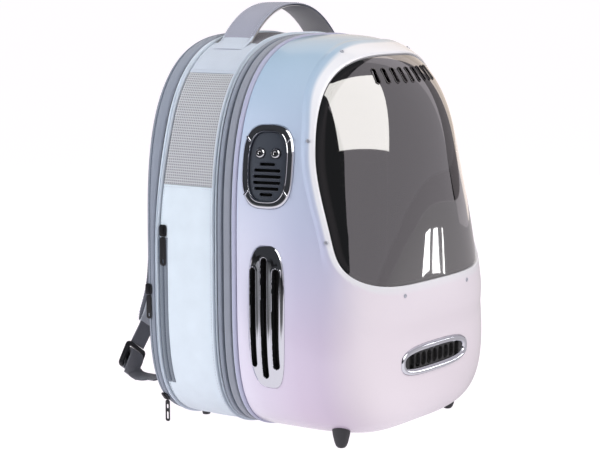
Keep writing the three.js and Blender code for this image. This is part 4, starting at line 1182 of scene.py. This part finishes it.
pad = skin("back_pad", pad_rings())
evened = pad.modifiers.new("even", "REMESH")
evened.mode = "VOXEL"
evened.voxel_size = PAD_VOXEL
bake(pad)
swell(pad, spots_of(pad.data)[:, 1] < PAD_HELD_TO, PAD_SWELL)
rounder = pad.modifiers.new("rounder", "SUBSURF")
rounder.levels = rounder.render_levels = 1
bake(pad)
sew_channel(pad)
pad = show("back_cushion", pad.data)
bpy.data.objects.remove(bpy.data.objects["back_pad"])
pad_cloth = cloth("pad_cloth", (0.33, 0.34, 0.39), 0.0025, 0.0005, coordinates="Object", second="Z")
settle(pad, [pad_cloth], "pad_cloth", "back_panel")


# Top handle: a folded cloth band that springs from the patches over the top panel, with a grey mesh
# lining under it. Its ends are sewn down to the patches through both layers.
HANDLE_FRONT = JOINT + 0.038
HANDLE_REAR = JOINT + 0.079
HANDLE_CROWN = 0.46
HANDLE_RISE = 0.0585
HANDLE_MIDDLE = 0.007
HANDLE_HALF_SPAN = 0.098
HANDLE_POWER = 2.3
HANDLE_PALE_BELOW = 0.423
HANDLE_THICKNESS = 0.0024
LINING_THICKNESS = 0.0018
HANDLE_LIFT = 0.0035
HANDLE_SEWN = {"lift": 0.0012, "share": 0.3, "run": 0.016}
HANDLE_EDGE = {"from": 0.92, "softness": 0.45}
HANDLE_REACH = {"band": 0.098, "lining": 0.088}
HANDLE_UV_STEP = 0.0022
HANDLE_PUFF = 0.0004


def handle_spine(end, count=90):
    """The band's outer line, from one end to the other, and the ways out of it. Near its ends it turns
    to lie along the body."""
    offset = np.linspace(-end, end, count)
    x = HANDLE_MIDDLE + offset
    arch = HANDLE_CROWN - HANDLE_RISE * (np.abs(offset) / HANDLE_HALF_SPAN) ** HANDLE_POWER
    span = BODY["top"] - BODY["widest"]
    body = BODY["widest"] + span * (1 - (np.abs(x) / BODY["half"]) ** BODY["upper"]) ** (1 / BODY["upper"])
    resting = body + mix(HANDLE_SEWN["lift"], HANDLE_LIFT, ease((end - np.abs(offset)) / HANDLE_SEWN["run"]))
    z = resting + np.maximum(arch - resting, 0)
    along_x, along_z = np.gradient(x), np.gradient(z)
    size = np.hypot(along_x, along_z)
    return x, z, -along_z / size, along_x / size


def handle_band(name, end, above, below, crown):
    """A band under the spine between two depths, with soft edges."""
    x, z, out_x, out_z = handle_spine(end)
    across = np.linspace(-1, 1, 19)
    edge = 1 - np.abs(across) ** 6
    y = mix(HANDLE_FRONT, HANDLE_REAR, (across + 1) / 2)
    sewn = ease((end - np.abs(x - HANDLE_MIDDLE)) / HANDLE_SEWN["run"])
    thick = (below - above) * mix(HANDLE_SEWN["share"], 1, sewn)[:, None]
    softened = thick * HANDLE_EDGE["softness"] * (1 - edge)
    top = -above - softened + crown * (1 - across**2)
    under = -above - thick + softened
    out = np.concatenate([top, under[:, ::-1]], axis=1)
    depth = np.concatenate([y, y[::-1]])
    rings = np.stack([x[:, None] + out * out_x[:, None], np.broadcast_to(depth, (len(x), len(depth))),
                      z[:, None] + out * out_z[:, None]], axis=-1)
    along = run_along(np.stack([x, z], axis=-1))
    edges = np.abs(np.concatenate([across, across])) > HANDLE_EDGE["from"]
    pale = (z[:, None] < HANDLE_PALE_BELOW) | edges
    return skin(name, rings, along=along, around=np.arange(len(depth) + 1) * HANDLE_UV_STEP, second=pale)


handle_cloth = cloth("handle_cloth", (0.34, 0.35, 0.44), 0.0009, 0.0002)
handle_mesh = cloth("handle_mesh", (0.62, 0.60, 0.62), 0.0022, 0.0006)
handle = handle_band("carry_handle", HANDLE_REACH["band"], 0, HANDLE_THICKNESS, HANDLE_PUFF)
settle(handle, [handle_cloth, patch_cloth], "handle_cloth", "top_handle")
lining_top = HANDLE_THICKNESS + SEAM_GAP
under_handle = handle_band("carry_handle_lining", HANDLE_REACH["lining"], lining_top,
                           lining_top + LINING_THICKNESS, 0)
settle(under_handle, [handle_mesh, handle_mesh], "air_mesh", "handle_lining")


# Shoulder straps: two foam pads in pale cloth with a dark bound edge, sewn to the back panel at the
# top. Flat webbing runs from each pad's lower end through a ladder-lock buckle to the panel's foot.
STRAP_STOPS = ((48, 127.9, 378, 57), (48, 139, 378, 58), (50, 156, 360, 58), (55, 166, 310, 56),
               (61, 168.4, 250, 54), (71, 166, 190, 49), (87, 162, 140, 39), (109.6, 160, 102.6, 30))
STRAP_ROWS = 96
STRAP_END_ROWS = 4
STRAP_BOUND_FROM = 0.93
STRAP_STITCH = {"across": 0.86, "out": 0.0044}
STRAP_THICKNESS = 0.0105
WEB_UPPER = ((104.5, 160, 110.5), (111.7, 160.2, 99.2), (117.5, 161.6, 90), (123.1, 163, 81.1))
WEB_LOWER = ((126, 127.6, 48), (126, 141, 48), (133.5, 151, 50.5), (138, 158, 56))
WEB_FOLD = ((-21, -7), (-10, -6), (4, -5.2), (8.2, -2), (6.4, 2), (0, 4.2), (-6.4, 1.8), (-9.5, -1.2),
            (-16, -3))
WEB_WIDTH = 0.024
WEB_THICKNESS = 0.002
WEB_LEAN = np.array((0.84, 0, 0.53))
SIDEWAYS = np.array((1.0, 0, 0))
FROM_JOINT = np.array((0, JOINT, 0))


def smooth_path(stops, count):
    """A smooth line through stops, which may carry a width after their place."""
    stops = np.array(stops, float)
    chord = run_along(stops[:, :3])
    slope = np.gradient(stops, chord, axis=0)
    at = np.linspace(0, chord[-1], count)
    index = np.clip(np.searchsorted(chord, at, side="right") - 1, 0, len(stops) - 2)
    gap = (chord[index + 1] - chord[index])[:, None]
    t = (at - chord[index])[:, None] / gap
    first = (2 * t**3 - 3 * t**2 + 1) * stops[index] + (t**3 - 2 * t**2 + t) * gap * slope[index]
    return first + (3 * t**2 - 2 * t**3) * stops[index + 1] + (t**3 - t**2) * gap * slope[index + 1]


def path_frame(path, hint):
    """Ways across a path, near a hint, and out of it."""
    along = np.gradient(path, axis=0)
    along /= np.linalg.norm(along, axis=1, keepdims=True)
    across = hint - (along @ hint)[:, None] * along
    across /= np.linalg.norm(across, axis=1, keepdims=True)
    return across, np.cross(across, along)


def swept(name, path, hint, half_width, half_thickness, powers, count, second=None):
    """A flat, soft section swept along a path."""
    across, out = path_frame(path, hint)
    angle = turns(count)
    side = powered(np.cos(angle), 2 / powers[0])
    rise = powered(np.sin(angle), 2 / powers[1])
    half_width = np.broadcast_to(half_width, len(path))
    half_thickness = np.broadcast_to(half_thickness, len(path))
    rings = path[:, None] + (half_width[:, None] * side)[..., None] * across[:, None]
    rings = rings + (half_thickness[:, None] * rise)[..., None] * out[:, None]
    flat_section = np.stack([side, 0.2 * rise], axis=-1)
    turn = run_along(np.concatenate([flat_section, flat_section[:1]]))
    marks = None if second is None else np.broadcast_to(second(side), (len(path), count))
    return skin(name, rings, along=run_along(path), around=turn * half_width[0], second=marks)


def web(name, line, hint):
    """Flat webbing along a line."""
    return swept(name, line, hint, WEB_WIDTH / 2, WEB_THICKNESS / 2, (9, 3), 28)


def round_box(width, height, radius, middle=(0, 0), corner=5):
    """A rectangle's outline with round corners."""
    spots = []
    for quarter, (side, end) in enumerate(((1, 1), (-1, 1), (-1, -1), (1, -1))):
        for turn in np.linspace(0, np.pi / 2, corner) + quarter * np.pi / 2:
            x = middle[0] + side * (width / 2 - radius) + radius * math.cos(turn)
            spots.append((x, middle[1] + end * (height / 2 - radius) + radius * math.sin(turn)))
    return spots


def plate_mesh(outlines, thickness, bevel, middle, up, out):
    """A flat piece with soft edges. Its first outline is its edge and the others are holes."""
    curve = bpy.data.curves.new("plate", "CURVE")
    curve.dimensions = "2D"
    curve.fill_mode = "BOTH"
    curve.extrude = thickness / 2 - bevel
    curve.bevel_depth = bevel
    curve.bevel_resolution = 2
    curve.offset = -bevel
    for outline in outlines:
        spline = curve.splines.new("POLY")
        spline.points.add(len(outline) - 1)
        spline.points.foreach_set("co", [value for x, y in outline for value in (x, y, 0, 1)])
        spline.use_cyclic_u = True
    drawn = bpy.data.objects.new("plate", curve)
    bpy.context.scene.collection.objects.link(drawn)
    mesh = bpy.data.meshes.new_from_object(drawn.evaluated_get(bpy.context.evaluated_depsgraph_get()))
    bpy.data.objects.remove(drawn)
    up, out = Vector(up).normalized(), Vector(out).normalized()
    place = Matrix((up.cross(out), up, out)).transposed().to_4x4()
    place.translation = Vector(middle)
    mesh.transform(place)
    return mesh


def joined(name, meshes):
    """One object from several meshes, each with its doubles merged and its faces outwards."""
    whole = bmesh.new()
    for mesh in meshes:
        whole.from_mesh(mesh)
    bmesh.ops.remove_doubles(whole, verts=whole.verts, dist=1e-6)
    bmesh.ops.recalc_face_normals(whole, faces=whole.faces)
    mesh = bpy.data.meshes.new(name)
    whole.to_mesh(mesh)
    whole.free()
    return show(name, mesh)


BUCKLE = {"width": 0.034, "height": 0.03, "thickness": 0.005, "bar": 0.0045, "lean": 0.68}
BUCKLE_ROUND = {"corner": 0.005, "slot": 0.0015, "edge": 0.0012}
slot_width = BUCKLE["width"] - 2 * BUCKLE["bar"]
slot_height = (BUCKLE["height"] - 3 * BUCKLE["bar"]) / 2
slot_offset = (slot_height + BUCKLE["bar"]) / 2
buckle_outlines = [round_box(BUCKLE["width"], BUCKLE["height"], BUCKLE_ROUND["corner"])]
for way in (-1, 1):
    buckle_outlines.append(round_box(slot_width, slot_height, BUCKLE_ROUND["slot"], (0, way * slot_offset)))
strap_cloth = cloth("strap_cloth", (0.70, 0.74, 0.80), 0.0016, 0.0004)
strap_binding = cloth("strap_binding", (0.10, 0.105, 0.13), 0.0012)
webbing = finish("webbing", {"Roughness": 0.75, "Sheen Weight": 0.3})
web_threads = weave(webbing, 0.0016)
feed(webbing, "Normal", bump(webbing, web_threads, 0.0005))
feed(webbing, "Base Color", shade(webbing, (0.22, 0.23, 0.27), mottle(webbing, 60, 0.8, 1.25)))
strap_lines = []
for side, label in ((-1, "left"), (1, "right")):
    flip = np.array((side, 1, 1))
    stops = smooth_path(STRAP_STOPS, STRAP_ROWS) * MILLIMETRE
    line, half_widths = stops[:, :3] * flip + FROM_JOINT, stops[:, 3] / 2
    rows = np.arange(STRAP_ROWS) + 0.6
    ends = np.minimum(1, np.sqrt(np.minimum(rows, rows[::-1]) / STRAP_END_ROWS))
    strap = swept("shoulder_pad_" + label, line, SIDEWAYS, half_widths, STRAP_THICKNESS / 2 * ends, (5, 2.4),
                  44, lambda across: np.abs(across) > STRAP_BOUND_FROM)
    settle(strap, [strap_cloth, strap_binding], "pad_cloth", "strap_" + label)
    strap_across, strap_out = path_frame(line, SIDEWAYS)
    for edge in (-STRAP_STITCH["across"], STRAP_STITCH["across"]):
        stitched = line + edge * half_widths[:, None] * strap_across
        strap_lines.append(stitched + STRAP_STITCH["out"] * strap_out)
    upper_line = smooth_path(WEB_UPPER, 20) * MILLIMETRE * flip + FROM_JOINT
    upper = web("upper_webbing_" + label, upper_line, WEB_LEAN * flip)
    settle(upper, [webbing], "pad_cloth", "strap_web_upper_" + label)
    lower_line = smooth_path(WEB_LOWER, 40) * MILLIMETRE * flip + FROM_JOINT
    lower = web("lower_webbing_" + label, lower_line, SIDEWAYS)
    settle(lower, [webbing], "pad_cloth", "strap_web_lower_" + label)
    corners = [Vector(corner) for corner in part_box("strap_buckle_" + label)]
    buckle_middle = (corners[0] + corners[1]) / 2
    buckle_up = (-side * BUCKLE["lean"], 0, 1)
    buckle_mesh = plate_mesh(buckle_outlines, BUCKLE["thickness"], BUCKLE_ROUND["edge"], buckle_middle,
                             buckle_up, (0, 1, 0))
    buckle = joined("ladder_lock_" + label, [buckle_mesh])
    settle(buckle, [black_plastic], "black_plastic", "strap_buckle_" + label)
    fold_up = np.array(buckle_up) / math.hypot(BUCKLE["lean"], 1)
    fold_stops = [up * fold_up + (0, out, 0) for up, out in WEB_FOLD]
    fold_line = smooth_path(fold_stops, 60) * MILLIMETRE + np.array(buckle_middle)
    fold = web("web_fold_" + label, fold_line, WEB_LEAN * flip)
    settle(fold, [webbing], "pad_cloth")


# Zip hardware on the left flank: the side pocket's tape with its closed coil, and three sliders with
# black moulded pulls that hang from them, on the pocket, the rear door and the lower corner.
POCKET_LOW = 0.054
POCKET_HIGH = 0.2128
POCKET_TAPE = [(0.4, 86), (1.2, 86.1), (1.5, 86.8), (1.5, 88.6), (1.3, 90), (0.8, 90.7), (0.8, 91.7),
               (1.3, 92.4), (1.5, 93.8), (1.5, 95.7), (1.2, 96.4), (0.4, 96.5), (0.3, 96.4), (0.3, 86.1)]
PULL_HOLES = {"pocket": ((-0.34, 0.3, 0.16),), "door": ((-0.34, 0.35, 0.14),),
              "corner": ((-0.22, 0.4, 0.34), (0.2, 0.4, 0.2))}
PULL_ROUND = {"corner": 0.4, "hole": 0.45, "edge": 0.0003}
SLIDER_FOOT = {"round": 0.0025, "thickness": 0.0017}
SLIDER_BRIDGE = {"wide": 0.42, "tall": 0.7, "round": 0.0015, "thickness": 0.0012, "out": 0.0013}
SLIDER_EDGE = 0.0005
POCKET_COIL = (0.0012, 91.2)
pocket_shares = -np.linspace(share_at(POCKET_HIGH), share_at(POCKET_LOW), 60)
pocket_tape = cloth("pocket_tape", (0.20, 0.23, 0.28), 0.0012, 0.0003)
tape = strip("pocket_tape", POCKET_TAPE, pocket_shares)
settle(tape, [pocket_tape, lining], "grey_tape", "pocket_zip")
coil("pocket_zip_coil", pocket_shares[1:-1], *POCKET_COIL)


def box_frame(solid):
    """A solid's middle and its size across the flank, up and out."""
    low, high = (np.array(corner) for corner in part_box(solid))
    return (low + high) / 2, (high - low)[[1, 2, 0]]


slider_metal = hard("slider_metal", (0.03, 0.03, 0.034), 300, 0.24, 0.42, metallic=0.7)
SLIDERS = {"pocket": (0.220, 0.009, 0.013), "door": (0.155, 0.008, 0.012), "corner": (0.034, 0.008, 0.011)}
for label, (height, width, tall) in SLIDERS.items():
    middle = box_frame(label + "_slider")[0]
    out_x, out_z = (float(value[0]) for value in outline_at(BODY, [-share_at(height)])[2:])
    out = np.array((out_x, 0, out_z))
    up = np.cross((0, 1, 0), out)
    foot_outline = round_box(width, tall, SLIDER_FOOT["round"])
    foot = plate_mesh([foot_outline], SLIDER_FOOT["thickness"], SLIDER_EDGE, middle, up, out)
    bridge_size = width * SLIDER_BRIDGE["wide"], tall * SLIDER_BRIDGE["tall"]
    bridge_outline = round_box(*bridge_size, SLIDER_BRIDGE["round"])
    bridge = plate_mesh([bridge_outline], SLIDER_BRIDGE["thickness"], SLIDER_EDGE,
                        middle + out * SLIDER_BRIDGE["out"], up, out)
    settle(joined(label + "_zip_slider", [foot, bridge]), [slider_metal], "black_plastic", label + "_slider")
    middle, (width, tall, thick) = box_frame(label + "_pull")
    pull_outlines = [round_box(width, tall, width * PULL_ROUND["corner"])]
    for place, wide, high in PULL_HOLES[label]:
        hole_round = min(width * wide, tall * high) * PULL_ROUND["hole"]
        pull_outlines.append(round_box(width * wide, tall * high, hole_round, (0, place * tall)))
    pull = plate_mesh(pull_outlines, thick, PULL_ROUND["edge"], middle, (0, 0, 1), (-1, 0, 0))
    settle(joined(label + "_zip_pull", [pull]), [black_plastic], "black_plastic", label + "_pull")


# Stitching: rows of pale thread along the gusset's edges, under and over the mesh panels, down both edges
# of the handle and across its ends, and along the strap pads.
THREAD_SPACING = 0.0034
THREAD_SIZE = (0.00028, 0.00028, 0.0012)
THREAD_OUT = {"gusset": 0.0002, "cross": 0.0009, "handle": 0.0001, "handle_end": 0.0003}
GUSSET_SEAMS = (27.9, 95.7)
CROSS_SEAM = {"front": 27.7, "rear": 96, "off": 0.0025}
HANDLE_SEAM = {"reach": 0.0965, "off": 0.003, "ends": (2, 6, -7, -3), "end_off": 0.004}
thread = hard("thread", (0.55, 0.58, 0.66), 500, 0.6, 0.8)
seam_lines = [strip_spots(gusset_shares, THREAD_OUT["gusset"], y) for y in GUSSET_SEAMS]
for seam_height in (MESH_BOTTOM - CROSS_SEAM["off"], MESH_TOP + CROSS_SEAM["off"]):
    for side in (-1, 1):
        seam = np.full(30, side * share_at(seam_height))
        depths = np.linspace(CROSS_SEAM["front"], CROSS_SEAM["rear"], 30)
        seam_lines.append(strip_spots(seam, THREAD_OUT["cross"], depths))
handle_x, handle_z, handle_out_x, handle_out_z = handle_spine(HANDLE_SEAM["reach"])
handle_out = np.stack([handle_out_x, np.zeros_like(handle_x), handle_out_z], axis=-1)
for y in (HANDLE_FRONT + HANDLE_SEAM["off"], HANDLE_REAR - HANDLE_SEAM["off"]):
    seam = np.stack([handle_x, np.full_like(handle_x, y), handle_z], axis=-1)
    seam_lines.append(seam + THREAD_OUT["handle"] * handle_out)
row = np.linspace(HANDLE_FRONT + HANDLE_SEAM["end_off"], HANDLE_REAR - HANDLE_SEAM["end_off"], 20)
for end in HANDLE_SEAM["ends"]:
    end_z = np.full(20, handle_z[end] + THREAD_OUT["handle_end"])
    seam_lines.append(np.stack([np.full(20, handle_x[end]), row, end_z], axis=-1))
stitches = beads("seam_stitches", seam_lines + strap_lines, THREAD_SPACING, THREAD_SIZE, thread)
settle(stitches, [thread], "pale_trim")


# Studio: a plain white floor and rectangular soft lights, which don't show to the camera. A key and a wide
# panel stand in front, a dim and a warm one on the right, one overhead, one behind the left flank, and
# three narrow strips show in the vent's ring. The floor shines on the carrier only from close by.
FLOOR_HALF = 40
FLOOR_TINT = (1, 0.95, 1, 1)
FLOOR_SEEN = 1.03
FLOOR_GLOW = ((0.17, 0.0), (0.23, 0.8), (0.5, 0.8), (0.6, 0.42))
FLOOR_END = {"way": (0.438, -0.899, 0), "from": 2.945, "to": 2.975}
AROUND_STRENGTH = 0.05
STRIPS = ((55.9, 0.036, 12), (58.6, 0.015, 5), (60.4, 0.006, -4))
STRIP_AIM = (0, -0.16, 0.0765)
STRIP_DISTANCE = 0.89
STRIP_HEIGHT = 0.09
STRIP_RADIANCE = 6
CARRIER_MIDDLE = (0, 0, 0.22)


def light(name, azimuth, elevation, distance, size, radiance, colour=(1, 1, 1),
          aim=CARRIER_MIDDLE, roll=0, mirrored=True):
    """A rectangular soft light that faces the carrier, of a brightness rather than a power. One that
    isn't mirrored doesn't show in reflections."""
    data = bpy.data.lights.new(name, "AREA")
    data.shape = "RECTANGLE"
    data.size, data.size_y = size
    data.energy = radiance * math.pi * size[0] * size[1]
    data.color = colour
    lamp = bpy.data.objects.new(name, data)
    way = direction(math.radians(azimuth), math.radians(elevation))
    lamp.location = Vector(aim) + distance * way
    turn = Quaternion((0, 0, 1), math.radians(roll))
    lamp.rotation_euler = (way.to_track_quat("Z", "Y") @ turn).to_euler()
    lamp.visible_camera = False
    lamp.visible_glossy = mirrored
    bpy.context.scene.collection.objects.link(lamp)


light("key", -5, 40, 1.7, (1.5, 1.5), 2.75, (1, 0.98, 0.94), roll=-8)
light("front_panel", 26, 24, 2.6, (6.1, 4.6), 0.45, (1, 0.93, 1))
light("right_dim", 83, 24, 2.4, (0.95, 3.6), 0.2, (1, 0.9, 0.95))
light("right_warm", 113, 28, 2.2, (1.8, 3.4), 0.8, (1, 0.86, 0.75))
light("top_soft", -60, 84, 1.8, (1.5, 1.5), 0.9, mirrored=False)
light("left_soft", -118, 14, 1.7, (1.2, 1.5), 5.2, (0.97, 0.98, 1), mirrored=False)
for strip_azimuth, strip_width, strip_roll in STRIPS:
    light("strip", strip_azimuth, 0, STRIP_DISTANCE, (strip_width, STRIP_HEIGHT), STRIP_RADIANCE,
          aim=STRIP_AIM, roll=strip_roll)

floor_mesh = bpy.data.meshes.new("floor")
floor_corners = [(FLOOR_HALF * x, FLOOR_HALF * y, 0) for x, y in ((-1, -1), (1, -1), (1, 1), (-1, 1))]
floor_mesh.from_pydata(floor_corners, [], [(0, 1, 2, 3)])
floor = bpy.data.objects.new("floor", floor_mesh)
bpy.context.scene.collection.objects.link(floor)
floor_white = finish("floor_white", {
    "Base Color": (0.1, 0.1, 0.1, 1), "Roughness": 0.9, "Emission Color": FLOOR_TINT})
floor_spot = node(floor_white, "TexCoord").outputs["Object"]
floor_place = node(floor_white, "SeparateXYZ", {0: floor_spot}).outputs
floor_stops = [(place, (glow, glow, glow)) for place, glow in FLOOR_GLOW]
floor_glow = ramp(floor_white, remap(floor_white, floor_place["X"], -1, 1), floor_stops)
floor_ahead = node(floor_white, "VectorMath", {0: floor_spot, 1: FLOOR_END["way"]}, operation="DOT_PRODUCT")
floor_end = remap(floor_white, floor_ahead.outputs["Value"], FLOOR_END["from"], FLOOR_END["to"], 1, 0)
floor_light = reckon(floor_white, "MULTIPLY", floor_glow, floor_end)
floor_seen = node(floor_white, "LightPath").outputs["Is Camera Ray"]
shown = node(floor_white, "Mix", {0: floor_seen, 2: floor_light, 3: FLOOR_SEEN})
feed(floor_white, "Emission Strength", shown.outputs[0])
floor_mesh.materials.append(floor_white)

world = bpy.data.worlds.new("studio")
world.use_nodes = True
bpy.context.scene.world = world
air = world.node_tree
seen = step(air, "ShaderNodeBackground", {"Color": (1, 1, 1, 1), "Strength": 1})
around = step(air, "ShaderNodeBackground", {"Color": (0.9, 0.93, 1, 1), "Strength": AROUND_STRENGTH})
air_seen = step(air, "ShaderNodeLightPath", {}).outputs["Is Camera Ray"]
either = step(air, "ShaderNodeMixShader", {
    "Fac": air_seen, 1: around.outputs["Background"], 2: seen.outputs["Background"]})
air.links.new(either.outputs["Shader"], air.nodes["World Output"].inputs["Surface"])
bpy.context.scene.view_settings.view_transform = "Standard"

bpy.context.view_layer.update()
